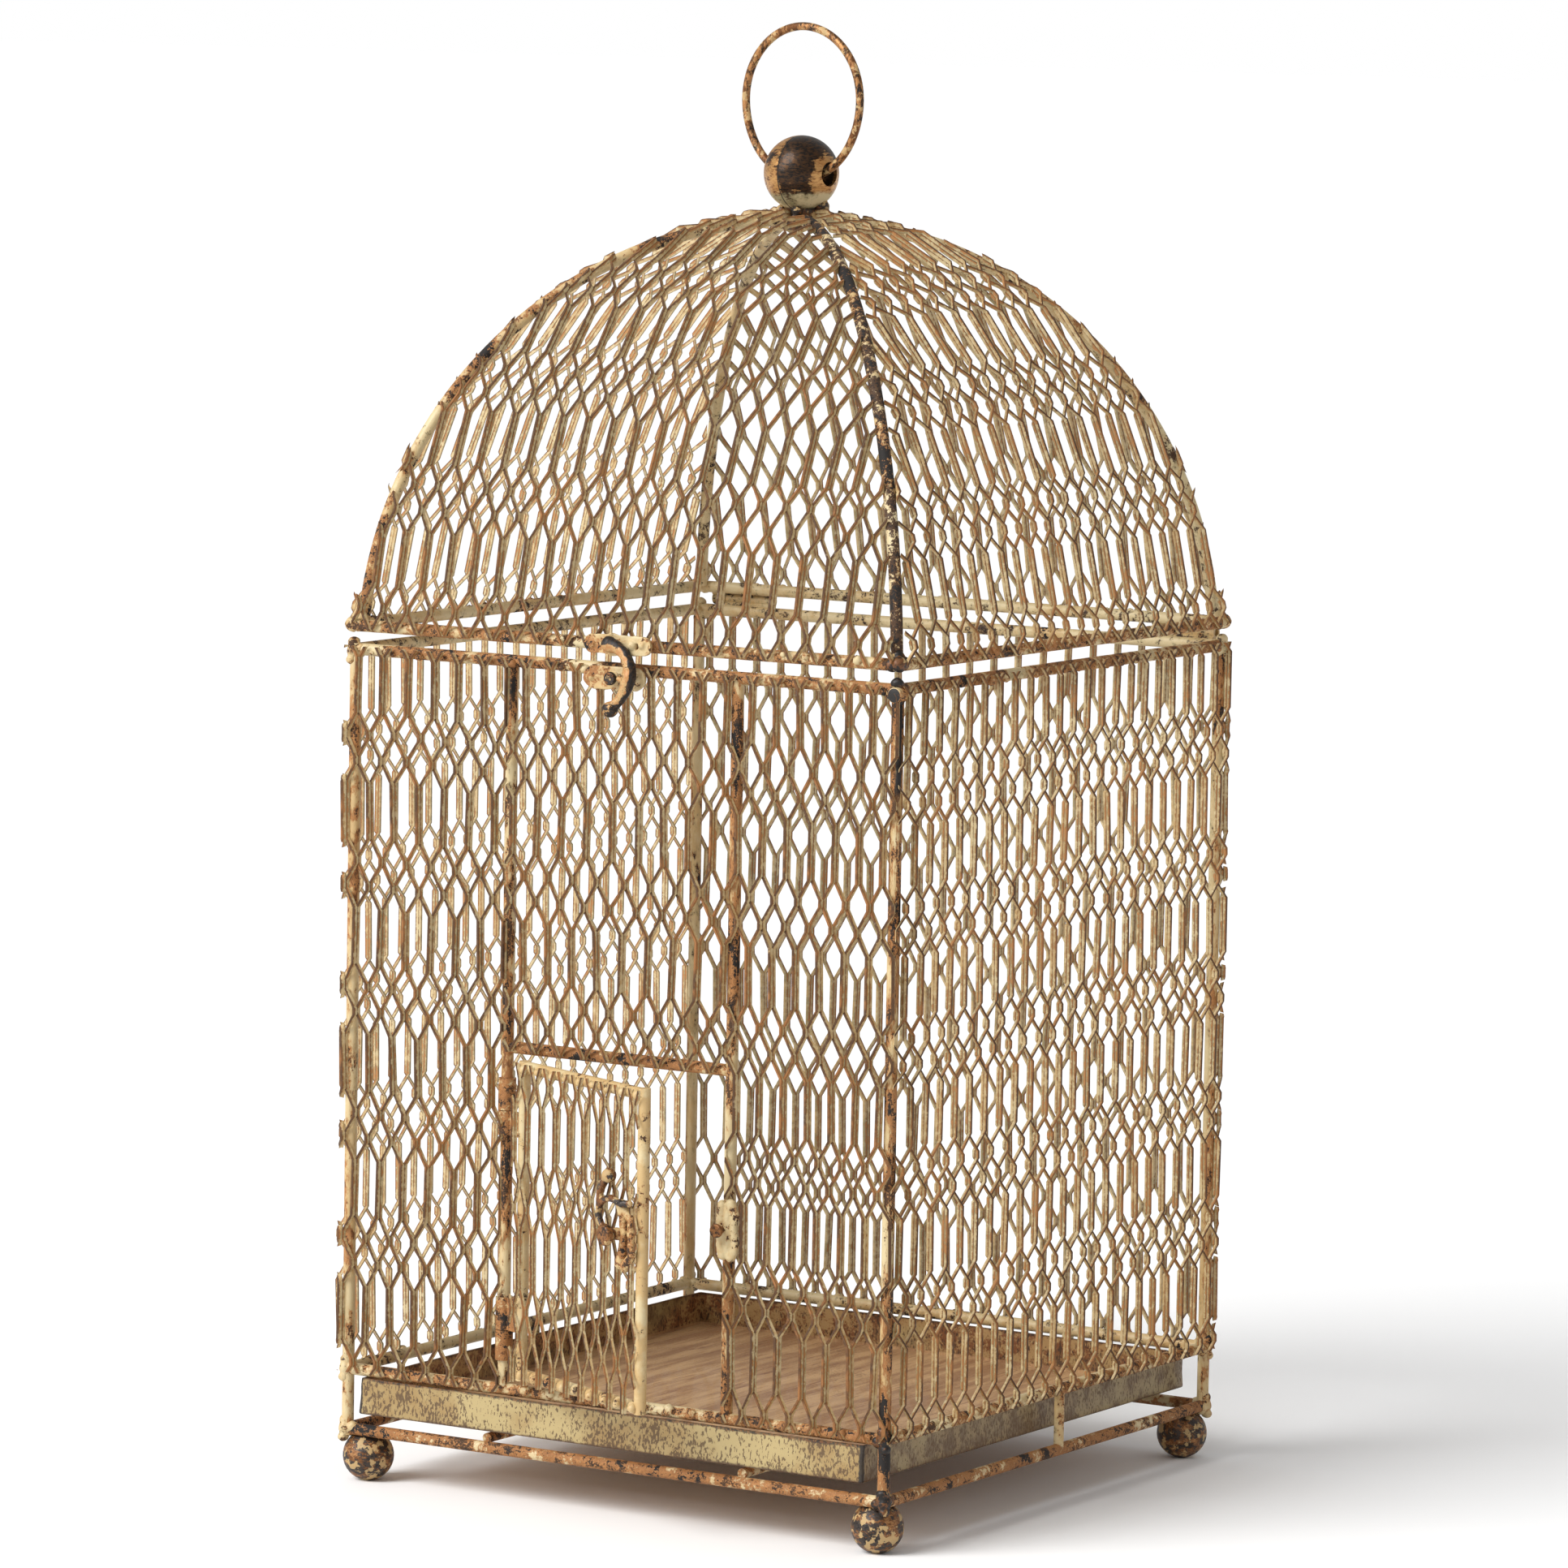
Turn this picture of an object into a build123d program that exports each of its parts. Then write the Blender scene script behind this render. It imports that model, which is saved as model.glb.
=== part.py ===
from build123d import *
from math import cos, radians, sin, sqrt
import os

# Square wire bird cage on ball feet, with a four-ribbed domed lid, a ring handle on a hollow ball,
# a small hinged door in front and a tray that slides out below. Millimetres, +Z up, front at -Y.
# The origin is the middle of the four feet, on the surface they stand on.

# driving dimensions
rod_r = 2.4  # frame rods
strut_r = 2.0  # lighter rods under the tray
weld_gap = 0.03  # where a rod meets another of its own size square on
cage_half = 125.0  # post axes from the centre
foot_z = 21.0  # axis heights of the rail squares
bottom_z = 45.2
top_z = 332.6
dome_z = 342.1
dome_half = 126.1  # dome rail axes from the centre
post_top = 335.0

ball_r = 10.25
ball_z = 10.0
ball_inset = 119.0

mesh_depth = 2.6  # expanded metal, flat on the outside of the rods
mesh_pitch = 11.6
mesh_unit = 50.0  # height of one repeat
long_bond = 22.4
short_bond = 2.7
strand = 1.6
mesh_bottom = 44.0
mesh_top = 333.4
mesh_plane = cage_half + rod_r

rib_arc_r = 174.5  # each rib is a circular arc in a diagonal plane
rib_arc_z = 328.4
rib_foot_angle = 4.75
gore_angles = [17, 31, 45, 59, 72, 84]  # where the gore's bands meet, up the rib's arc
gore_gap = 4.2  # bands from the rib axis
gore_base = dome_half + rod_r + 0.3  # foot of the gores, just outside the dome rails
crown_r = 7.0

finial_z = 521.3
finial_r = 15.0
finial_wall = 1.5
finial_hole_r = 4.8
ring_wire_r = 1.6
ring_z = 550.3
ring_r = 29.0
ring_side_r = 33.0
ring_side_angle = 35.0
ring_turn = -7.0  # ring plane about Z

door_left = -50.5  # door post axes
door_right = 53.5
lintel_z = 181.0
door_turn = -22.5  # the door stands ajar
door_hinge_s = 12.5  # stile axes from the hinge axis, along the door
door_free_s = 95.0
door_bottom_z = 53.0
door_top_z = 174.5
door_latch_s = 85.0
door_latch_z = 119.7

tray_half = 117.5
tray_front = -128.5
tray_back = 122.3
tray_bottom = 27.0
tray_top = 41.6
tray_wall = 1.0

hinge_y = 129.5  # dome hinge axis
hinge_z = 337.2
pin_r = 1.5
running_gap = 0.06

sheet = 1.5  # latch and catch plates
latch_x = 0.9
latch_z = 342.6
stud_x = 1.1
stud_z = 329.6
catch_x = 54.0
catch_z = 120.1

sides = {"front": 0, "right": 90, "back": 180, "left": 270}
corners = {"front_left": (-1, -1), "front_right": (1, -1), "back_right": (1, 1), "back_left": (-1, 1)}

os.makedirs("parts", exist_ok=True)


def save(piece, name):
    piece.label = name
    export_step(piece, f"parts/{name}.step")


def turned(point, turn):
    return Vector(*point).rotate(Axis.Z, turn)


def side_plane(turn, distance):
    """A side's plane: x along the side, y up, z outward."""
    outward = turned((0, -1, 0), turn)
    return Plane(origin=outward * distance, x_dir=turned((1, 0, 0), turn), z_dir=outward)


def bar(start, end, radius=rod_r, trims=()):
    """A round rod between two points, with the rods it is welded to cut out of its ends."""
    run = Vector(*end) - Vector(*start)
    with BuildPart() as rod:
        with BuildSketch(Plane(origin=start, z_dir=run)):
            Circle(radius)
        extrude(amount=run.length)
        for trim in trims:
            add(trim, mode=Mode.SUBTRACT)
    return rod.part


def square_rail(turn, half, z, trims=()):
    """One side of a square of rods."""
    return bar(turned((-half, -half, z), turn), turned((half, -half, z), turn), rod_r, trims)


# ---- cage frame ----

posts = {}
for corner, (cx, cy) in corners.items():
    foot = (cx * cage_half, cy * cage_half, foot_z - rod_r)
    posts[corner] = bar(foot, (cx * cage_half, cy * cage_half, post_top))
    save(posts[corner], f"post_{corner}")

for level, z in (("bottom", bottom_z), ("top", top_z)):
    across = {}
    for side in ("front", "back"):
        across[side] = square_rail(sides[side], cage_half, z, posts.values())
        save(across[side], f"{level}_rail_{side}")
    for side in ("right", "left"):
        trims = [*posts.values(), *across.values()]
        save(square_rail(sides[side], cage_half, z, trims), f"{level}_rail_{side}")

with BuildPart() as foot_rails:
    for side in ("front", "back"):
        add(square_rail(sides[side], cage_half, foot_z, posts.values()))
    for side in ("right", "left"):
        ends = [square_rail(sides[end], cage_half, foot_z) for end in ("front", "back")]
        add(square_rail(sides[side], cage_half, foot_z, [*posts.values(), *ends]))
save(foot_rails.part, "foot_rails")

bottom_bars = [square_rail(turn, cage_half, bottom_z) for turn in sides.values()]
foot_bars = [square_rail(turn, cage_half, foot_z) for turn in sides.values()]

support_x = (-58.0, 61.0)
support_z = tray_bottom - 0.3 - strut_r
side_strut_y = 8.0
back_struts = []
for x in support_x:
    foot, head = (x, cage_half, foot_z), (x, cage_half, bottom_z)
    back_struts.append(bar(foot, head, rod_r, foot_bars + bottom_bars))

with BuildPart() as struts:
    for x in (-cage_half, cage_half):
        foot, head = (x, side_strut_y, foot_z), (x, side_strut_y, bottom_z)
        add(bar(foot, head, strut_r, foot_bars + bottom_bars))
    for back_strut in back_struts:
        add(back_strut)
save(struts.part, "struts")

with BuildPart() as tray_supports:
    for x in support_x:
        ends = (x, -cage_half, support_z), (x, cage_half, support_z)
        add(bar(*ends, strut_r, foot_bars + back_struts))
save(tray_supports.part, "tray_supports")

with BuildPart() as ball_feet:
    with Locations(*[(cx * ball_inset, cy * ball_inset, ball_z) for cx, cy in corners.values()]):
        Sphere(ball_r)
    with Locations((0, 0, -ball_r)):
        Box(3 * cage_half, 3 * cage_half, 2 * ball_r, mode=Mode.SUBTRACT)
    for foot_bar in foot_bars:
        add(foot_bar, mode=Mode.SUBTRACT)
save(ball_feet.part, "ball_feet")

# ---- doorway ----

front_rails = [square_rail(0, cage_half, z) for z in (bottom_z, top_z)]
door_posts = []
for name, x in (("left", door_left), ("right", door_right)):
    door_posts.append(bar((x, -cage_half, bottom_z), (x, -cage_half, top_z), rod_r, front_rails))
    save(door_posts[-1], f"door_post_{name}")
lintel = bar((door_left, -cage_half, lintel_z), (door_right, -cage_half, lintel_z), rod_r, door_posts)
save(lintel, "door_lintel")

# ---- expanded metal panels ----

diagonal = (mesh_unit - long_bond - 2 * short_bond) / 3


def cell(upright):
    """One opening: a hexagon with upright sides of the given length."""
    half_width = (mesh_pitch - strand) / 2
    half_side = upright / 2
    half_height = half_side + diagonal - strand
    return [
        (half_width, -half_side),
        (half_width, half_side),
        (0, half_height),
        (-half_width, half_side),
        (-half_width, -half_side),
        (0, -half_height),
    ]


def cell_rows(bottom, top):
    """Heights, kinds and sideways shifts of the rows of openings between two heights."""
    rows = []
    step = short_bond + diagonal
    for unit in range(int((top - bottom) / mesh_unit) + 1):
        low = bottom + unit * mesh_unit
        shift = unit % 2
        rows.append((low + diagonal + long_bond / 2, long_bond, shift))
        small = low + 2 * diagonal + long_bond + short_bond / 2
        rows.append((small, short_bond, 1 - shift))
        rows.append((small + step, short_bond, shift))
    return [row for row in rows if row[0] + row[1] / 2 + diagonal < top]


def panel(turn, left, right, bottom, top, notches=()):
    """A flat panel of expanded metal on the outside of one side's rods."""
    columns = range(int((right - left) / mesh_pitch) + 2)
    with BuildPart() as sheet_metal:
        with BuildSketch(side_plane(turn, mesh_plane)):
            with Locations(((left + right) / 2, (bottom + top) / 2)):
                Rectangle(right - left, top - bottom)
            for kind in (long_bond, short_bond):
                spots = []
                for z, upright, shift in cell_rows(bottom, top):
                    xs = [left + (column + 0.5 + shift / 2) * mesh_pitch for column in columns]
                    fitting = [x for x in xs if x + mesh_pitch / 2 < right]
                    if upright == kind:
                        spots += [(x, z) for x in fitting]
                with Locations(*spots):
                    Polygon(*cell(kind), align=None, mode=Mode.SUBTRACT)
            for notch_left, notch_right, notch_bottom, notch_top in notches:
                with Locations(((notch_left + notch_right) / 2, (notch_bottom + notch_top) / 2)):
                    width = notch_right - notch_left
                    Rectangle(width, notch_top - notch_bottom, mode=Mode.SUBTRACT)
        extrude(amount=mesh_depth)
    return sheet_metal.part


hinge_notches = [(door_left - 4, door_left + 4, low, high) for low, high in ((55, 84), (144, 171))]
save(panel(0, -mesh_plane, door_left, mesh_bottom, mesh_top, hinge_notches), "mesh_front_left")
save(panel(0, door_right, mesh_plane, mesh_bottom, mesh_top), "mesh_front_right")
save(panel(0, door_left, door_right, lintel_z, mesh_top), "mesh_over_door")
for side in ("right", "back", "left"):
    save(panel(sides[side], -mesh_plane, mesh_plane, mesh_bottom, mesh_top), f"mesh_{side}")

# ---- tray ----

with BuildPart() as tray:
    with BuildSketch(Plane.XY.offset(tray_bottom)):
        with Locations((0, (tray_front + tray_back) / 2)):
            RectangleRounded(2 * tray_half, tray_back - tray_front, 5)
    extrude(amount=tray_top - tray_bottom)
    fillet(tray.edges().group_by(Axis.Z)[0], 2)
    with BuildSketch(Plane.XY.offset(tray_bottom + tray_wall)):
        with Locations((0, (tray_front + tray_back) / 2)):
            depth = tray_back - tray_front - 2 * tray_wall
            RectangleRounded(2 * (tray_half - tray_wall), depth, 5 - tray_wall)
    extrude(amount=tray_top - tray_bottom, mode=Mode.SUBTRACT)
save(tray.part, "tray")

# ---- door catch, on the right door post ----

plate_y = -(mesh_plane + mesh_depth)
front_of_mesh = Plane.XZ.offset(-plate_y)

with BuildPart() as door_catch_plate:
    with BuildSketch(front_of_mesh):
        with Locations((56.65, 120)):
            RectangleRounded(10, 24.4, 3)
        with Locations((catch_x, catch_z)):
            Circle(pin_r, mode=Mode.SUBTRACT)
    extrude(amount=sheet)
save(door_catch_plate.part, "door_catch_plate")


def headed_pin(plane, neck, head, head_r):
    """A rivet or stud standing on a plane, with a domed head."""
    with BuildPart() as pin:
        with BuildSketch(plane):
            Circle(pin_r)
        extrude(amount=neck + head)
        with BuildSketch(plane.offset(neck)):
            Circle(head_r)
        extrude(amount=head)
        fillet(pin.edges().group_by(SortBy.LENGTH)[-1].sort_by(Axis.Y)[0], 0.45 * head)
    return pin.part


def front_spot(x, y, z):
    return Plane(origin=(x, y, z), x_dir=(1, 0, 0), z_dir=(0, -1, 0))


save(headed_pin(front_spot(catch_x, plate_y, catch_z), 4.8, 1.4, 2.7), "door_catch_pin")

# ---- dome catch, on the front top rail ----

with BuildPart() as dome_catch_plate:
    with BuildSketch(front_of_mesh):
        with Locations((0.8, 329.5)):
            SlotOverall(28.2, 9)
        with Locations((stud_x, stud_z)):
            Circle(pin_r, mode=Mode.SUBTRACT)
    extrude(amount=sheet)
save(dome_catch_plate.part, "dome_catch_plate")
save(headed_pin(front_spot(stud_x, plate_y, stud_z), 4.0, 1.5, 2.6), "dome_catch_stud")

# ---- dome ----

dome_across = {}
for side in ("front", "back"):
    dome_across[side] = square_rail(sides[side], dome_half, dome_z)
    save(dome_across[side], f"dome_rail_{side}")
for side in ("right", "left"):
    reach = dome_half - rod_r - weld_gap
    ends = turned((-reach, -dome_half, dome_z), sides[side]), turned((reach, -dome_half, dome_z), sides[side])
    save(bar(*ends), f"dome_rail_{side}")
dome_bars = [square_rail(turn, dome_half, dome_z) for turn in sides.values()]

crown_bottom = 499.0
crown_top = 507.2
with BuildPart() as crown:
    with BuildSketch(Plane.XY.offset(crown_bottom)):
        Circle(crown_r)
    extrude(amount=crown_top - crown_bottom)
    chamfer(crown.edges().group_by(Axis.Z)[0], 0.6)
    with Locations((0, 0, finial_z)):
        Sphere(finial_r, mode=Mode.SUBTRACT)
save(crown.part, "crown")

with BuildPart() as crown_core:
    with BuildSketch(Plane.XY.offset(crown_bottom - 5)):
        Circle(crown_r)
    extrude(amount=15)

for corner, (cx, cy) in corners.items():
    outward = Vector(cx, cy, 0).normalized()
    rib_plane = Plane(origin=(0, 0, 0), x_dir=outward, z_dir=outward.cross(Vector(0, 0, 1)))
    with BuildPart() as rib:
        with BuildLine(rib_plane) as arc:
            CenterArc((0, rib_arc_z), rib_arc_r, rib_foot_angle, 90 - rib_foot_angle)
        with BuildSketch(Plane(origin=arc.line @ 0, z_dir=arc.line % 0)):
            Circle(rod_r)
        sweep(path=arc.line)
        for dome_bar in dome_bars:
            add(dome_bar, mode=Mode.SUBTRACT)
        add(crown_core.part, mode=Mode.SUBTRACT)
    save(rib.part, f"dome_rib_{corner}")


def gore_profile():
    """Half-width, distance from the centre and height of each fold of a gore, from rail to crown."""
    folds = [(dome_half - 3, gore_base, dome_z - 0.6)]
    for angle in gore_angles:
        reach = rib_arc_r * cos(radians(angle)) / sqrt(2)
        rise = rib_arc_r * sin(radians(angle))
        normal = Vector(2 * reach, rise, 0).normalized()
        folds.append((reach, reach + gore_gap * normal.X, rib_arc_z + rise + gore_gap * normal.Y))
    return folds


def gore(turn):
    """A gore of expanded metal, as flat bands from the dome rail up to the crown."""
    folds = gore_profile()
    with BuildPart() as bands:
        for (low_w, low_d, low_z), (high_w, high_d, high_z) in zip(folds, folds[1:]):
            up = Vector(0, low_d - high_d, high_z - low_z)
            height = up.length
            along = turned((1, 0, 0), turn)
            outward = along.cross(up.normalized().rotate(Axis.Z, turn))
            spot = turned((0, -low_d, low_z), turn)
            with BuildSketch(Plane(origin=spot, x_dir=along, z_dir=outward)):
                Polygon((-low_w, 0), (low_w, 0), (high_w, height), (-high_w, height), align=None)
                count = int((high_w - strand - mesh_pitch / 2) / mesh_pitch)
                spots = [(column * mesh_pitch, height / 2) for column in range(-count, count + 1)]
                with Locations(*spots):
                    Polygon(*cell(height - 2 * diagonal), align=None, mode=Mode.SUBTRACT)
            extrude(amount=mesh_depth)
    return bands.part


for side, turn in sides.items():
    save(gore(turn), f"gore_{side}")

# ---- finial and ring ----

ring_along = turned((1, 0, 0), ring_turn)
ring_face = ring_along.cross(Vector(0, 0, 1))

with BuildPart() as finial_ball:
    with Locations((0, 0, finial_z)):
        Sphere(finial_r)
        Sphere(finial_r - finial_wall, mode=Mode.SUBTRACT)
    with BuildSketch(Plane(origin=(0, 0, finial_z), z_dir=ring_along)):
        Circle(finial_hole_r)
    extrude(amount=finial_r, both=True, mode=Mode.SUBTRACT)
save(finial_ball.part, "finial_ball")

side_shift = ring_side_r - ring_r
drop = side_shift / cos(radians(ring_side_angle))
low_r = ring_side_r - drop
low_z = -drop * sin(radians(ring_side_angle))
with BuildPart() as ring:
    with BuildLine(Plane(origin=(0, 0, ring_z), x_dir=ring_along, z_dir=ring_face)) as loop:
        CenterArc((0, 0), ring_r, 0, 180)
        CenterArc((side_shift, 0), ring_side_r, 180, ring_side_angle)
        CenterArc((0, low_z), low_r, 180 + ring_side_angle, 180 - 2 * ring_side_angle)
        CenterArc((-side_shift, 0), ring_side_r, -ring_side_angle, ring_side_angle)
    wire = loop.wire()
    with BuildSketch(Plane(origin=wire @ 0, z_dir=wire % 0)):
        Circle(ring_wire_r)
    sweep(path=wire)
save(ring.part, "ring")

# ---- dome latch ----

gore_face = -(gore_base + mesh_depth)
with BuildPart() as dome_latch_plate:
    with BuildSketch(Plane.XZ.offset(-gore_face)):
        with Locations((latch_x, latch_z)):
            Circle(4.4)
        with Locations((3, 342.6)):
            SlotOverall(30.8, 7.4)
        with Locations((latch_x, latch_z)):
            Circle(pin_r, mode=Mode.SUBTRACT)
        with Locations((11.5, 342.6)):
            Circle(1.3, mode=Mode.SUBTRACT)
    extrude(amount=sheet)
save(dome_latch_plate.part, "dome_latch_plate")
save(headed_pin(front_spot(latch_x, gore_face, latch_z), 4.1, 1.3, 2.4), "dome_latch_rivet")

hook_back = gore_face - sheet - 0.4  # clear of the plate, and of the stud lower down
hook_thick = 2.0
hook_elbow = (11, -13)
hook_tip = (3.5, -24.3)
low_layer = 2.9  # the lower arm stands this much further out, past the stud's head
hook_ball_r = 3.3
with BuildPart() as dome_hook:
    with BuildSketch(front_spot(latch_x, hook_back, latch_z)):
        with BuildLine():
            Polyline((0, 0), (7, -4), hook_elbow)
        trace(line_width=4.6)
        Circle(3.4)
        Circle(pin_r + running_gap, mode=Mode.SUBTRACT)
    extrude(amount=hook_thick)
    with BuildSketch(front_spot(latch_x, hook_back, latch_z)):
        with Locations(hook_elbow):
            Circle(2.3)
    extrude(amount=low_layer + hook_thick)
    with BuildSketch(front_spot(latch_x, hook_back - low_layer, latch_z)):
        with BuildLine():
            Polyline(hook_elbow, (9.5, -19.5), hook_tip)
        trace(line_width=4.6)
        Polygon((9, -11), (9, -16), (4.5, -12.5), align=None)
    extrude(amount=hook_thick)
    with Locations((latch_x + hook_tip[0], hook_back - low_layer - hook_ball_r, latch_z + hook_tip[1])):
        Sphere(hook_ball_r)
save(dome_hook.part, "dome_hook")

# ---- dome hinges ----

tube_r = 2.6
lug_wide = 1.8
tube_spans = ((-113.3, -91.0), (99.0, 121.0))  # the cage's tubes, pinned from their left ends
eye_length = 6.4
axis_point = (hinge_y, hinge_z)

with BuildPart() as dome_hinge_tubes:
    for left, right in tube_spans:
        with BuildSketch(Plane.YZ.offset(left)):
            with BuildLine():
                Line((cage_half, top_z), axis_point)
            trace(line_width=lug_wide)
            with Locations(axis_point):
                Circle(tube_r)
                Circle(pin_r + running_gap, mode=Mode.SUBTRACT)
        extrude(amount=right - left)
    add(square_rail(180, cage_half, top_z), mode=Mode.SUBTRACT)
save(dome_hinge_tubes.part, "dome_hinge_tubes")

with BuildPart() as dome_hinge_pintles:
    for left, right in tube_spans:
        eye_right = left - 0.3
        with BuildSketch(Plane.YZ.offset(eye_right)):
            with Locations(axis_point):
                Circle(pin_r)
        extrude(amount=right - left - 1)
        with BuildSketch(Plane.YZ.offset(eye_right)):
            with BuildLine():
                Line((dome_half, dome_z), axis_point)
            trace(line_width=lug_wide)
            with Locations(axis_point):
                Circle(tube_r)
        extrude(amount=-eye_length)
    add(dome_bars[2], mode=Mode.SUBTRACT)
save(dome_hinge_pintles.part, "dome_hinge_pintles")

# ---- door ----

door_along = turned((1, 0, 0), door_turn)
door_out = turned((0, -1, 0), door_turn)
hinge_axis = Vector(door_left, -cage_half, 0)
door_mesh_out = rod_r + mesh_depth


def door_point(s, z, out=0.0):
    """A point of the door: s from the hinge axis, z up, out from the stiles' plane."""
    return hinge_axis + door_along * s + door_out * out + Vector(0, 0, z)


def door_face(out, s=0.0, z=0.0):
    return Plane(origin=door_point(s, z, out), x_dir=door_along, z_dir=door_out)


stiles = []
for name, s in (("hinge", door_hinge_s), ("free", door_free_s)):
    low, high = door_point(s, door_bottom_z - rod_r), door_point(s, door_top_z + rod_r)
    stiles.append(bar(low, high))
    save(stiles[-1], f"door_stile_{name}")
for name, z in (("bottom", door_bottom_z), ("top", door_top_z)):
    ends = door_point(door_hinge_s, z), door_point(door_free_s, z)
    save(bar(*ends, rod_r, stiles), f"door_rail_{name}")

door_mesh_left = 10.0
door_mesh_right = 97.4
with BuildPart() as door_mesh:
    with BuildSketch(door_face(rod_r)):
        middle = (door_bottom_z + door_top_z) / 2
        with Locations(((door_mesh_left + door_mesh_right) / 2, middle)):
            Rectangle(door_mesh_right - door_mesh_left, door_top_z - door_bottom_z + 3)
        for row in range(3):
            xs = [door_mesh_left + 9 + column * mesh_pitch for column in range(7)]
            z = door_bottom_z + 20 + row * 40.5
            with Locations(*[(x, z) for x in xs]):
                Polygon(*cell(long_bond), align=None, mode=Mode.SUBTRACT)
    extrude(amount=mesh_depth)
save(door_mesh.part, "door_mesh")

loop_r = 3.5
loop_spans = ((69.2, 82.0), (146.3, 155.9))
collar_spans = ((57.0, 68.9), (156.2, 168.7))
with BuildPart() as door_hinge_loops:
    for low, high in loop_spans:
        with BuildSketch(Plane(origin=(door_left, -cage_half, low), x_dir=door_along, z_dir=(0, 0, 1))):
            Circle(loop_r)
            with Locations((door_hinge_s / 2, 0)):
                Rectangle(door_hinge_s, 2)
            Circle(rod_r + running_gap, mode=Mode.SUBTRACT)
        extrude(amount=high - low)
    add(stiles[0], mode=Mode.SUBTRACT)
save(door_hinge_loops.part, "door_hinge_loops")

with BuildPart() as door_hinge_collars:
    for low, high in collar_spans:
        with BuildSketch(Plane(origin=(door_left, -cage_half, low))):
            Circle(loop_r)
            Circle(rod_r, mode=Mode.SUBTRACT)
        extrude(amount=high - low)
save(door_hinge_collars.part, "door_hinge_collars")

with BuildPart() as door_latch_plate:
    with BuildSketch(door_face(door_mesh_out)):
        with Locations((door_latch_s, 120.2)):
            RectangleRounded(19, 29, 4)
        with Locations((door_latch_s, door_latch_z)):
            Circle(pin_r, mode=Mode.SUBTRACT)
        with Locations((90.3, 121)):
            Circle(1.4, mode=Mode.SUBTRACT)
    extrude(amount=sheet)
save(door_latch_plate.part, "door_latch_plate")
rivet_plane = door_face(door_mesh_out, door_latch_s, door_latch_z)
save(headed_pin(rivet_plane, 4.6, 2.6, 4.2), "door_latch_rivet")

curl_r = 6.6
with BuildPart() as door_hook:
    with BuildSketch(door_face(door_mesh_out + sheet + 0.6, door_latch_s, door_latch_z)):
        with BuildLine():
            CenterArc((0, 8), curl_r, 23, 247)
        trace(line_width=3.2)
        with BuildLine():
            Polyline((-4.4, 13), (-3.6, 19), (-1, 22.5))
        trace(line_width=3.2)
        with Locations((-1, 22.6)):
            Circle(3.4)
        Circle(3.2)
        Circle(pin_r + running_gap, mode=Mode.SUBTRACT)
    extrude(amount=hook_thick)
save(door_hook.part, "door_hook")
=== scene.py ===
import bpy
from math import cos, pi, radians, sin, sqrt
from mathutils import Matrix, Vector, noise


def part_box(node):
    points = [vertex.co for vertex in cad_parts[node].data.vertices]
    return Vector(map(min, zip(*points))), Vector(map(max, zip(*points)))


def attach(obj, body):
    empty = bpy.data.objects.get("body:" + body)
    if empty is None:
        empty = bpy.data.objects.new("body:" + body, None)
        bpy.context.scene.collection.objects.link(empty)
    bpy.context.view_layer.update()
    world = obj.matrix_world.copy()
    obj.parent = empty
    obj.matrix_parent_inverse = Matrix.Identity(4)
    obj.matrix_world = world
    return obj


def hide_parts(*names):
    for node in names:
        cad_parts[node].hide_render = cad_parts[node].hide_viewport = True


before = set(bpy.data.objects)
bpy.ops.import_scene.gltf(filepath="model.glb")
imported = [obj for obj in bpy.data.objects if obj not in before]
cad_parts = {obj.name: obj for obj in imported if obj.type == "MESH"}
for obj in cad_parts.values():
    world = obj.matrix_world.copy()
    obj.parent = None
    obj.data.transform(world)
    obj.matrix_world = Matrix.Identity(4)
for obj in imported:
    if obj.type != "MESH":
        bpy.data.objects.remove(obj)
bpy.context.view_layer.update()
print("frame loaded:", len(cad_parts), "parts")

mm = 0.001


def freeSelection():
    if bpy.context.mode != "OBJECT":
        bpy.ops.object.mode_set(mode="OBJECT")
    bpy.ops.object.select_all(action="DESELECT")


def pick(piece):
    freeSelection()
    piece.select_set(True)
    bpy.context.view_layer.objects.active = piece


def bakeIn(piece, kind, **settings):            # add a modifier and apply it
    pick(piece)
    modifier = piece.modifiers.new(kind.title(), kind)
    for key, value in settings.items():
        setattr(modifier, key, value)
    bpy.ops.object.modifier_apply(modifier=modifier.name)


def pickFaces(piece, outward):                   # edit mode, with only the faces that look one way selected
    pick(piece)
    bpy.ops.object.mode_set(mode="EDIT")
    bpy.ops.mesh.select_mode(type="FACE")
    bpy.ops.mesh.select_all(action="DESELECT")
    bpy.ops.object.mode_set(mode="OBJECT")
    for face in piece.data.polygons:
        face.select = face.normal.dot(Vector(outward)) > 0.9
    bpy.ops.object.mode_set(mode="EDIT")


def settle(piece):                              # the piece's place goes into its mesh
    pick(piece)
    bpy.ops.object.transform_apply(location=True, rotation=True, scale=True)


def turn(point, degrees):                       # about the upright middle line
    return Matrix.Rotation(radians(degrees), 3, "Z") @ Vector(point)


def middle(node):
    low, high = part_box(node)
    return (Vector(low) + Vector(high)) / 2


sideTurn = {"front": 0, "right": 90, "back": 180, "left": 270}


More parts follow.
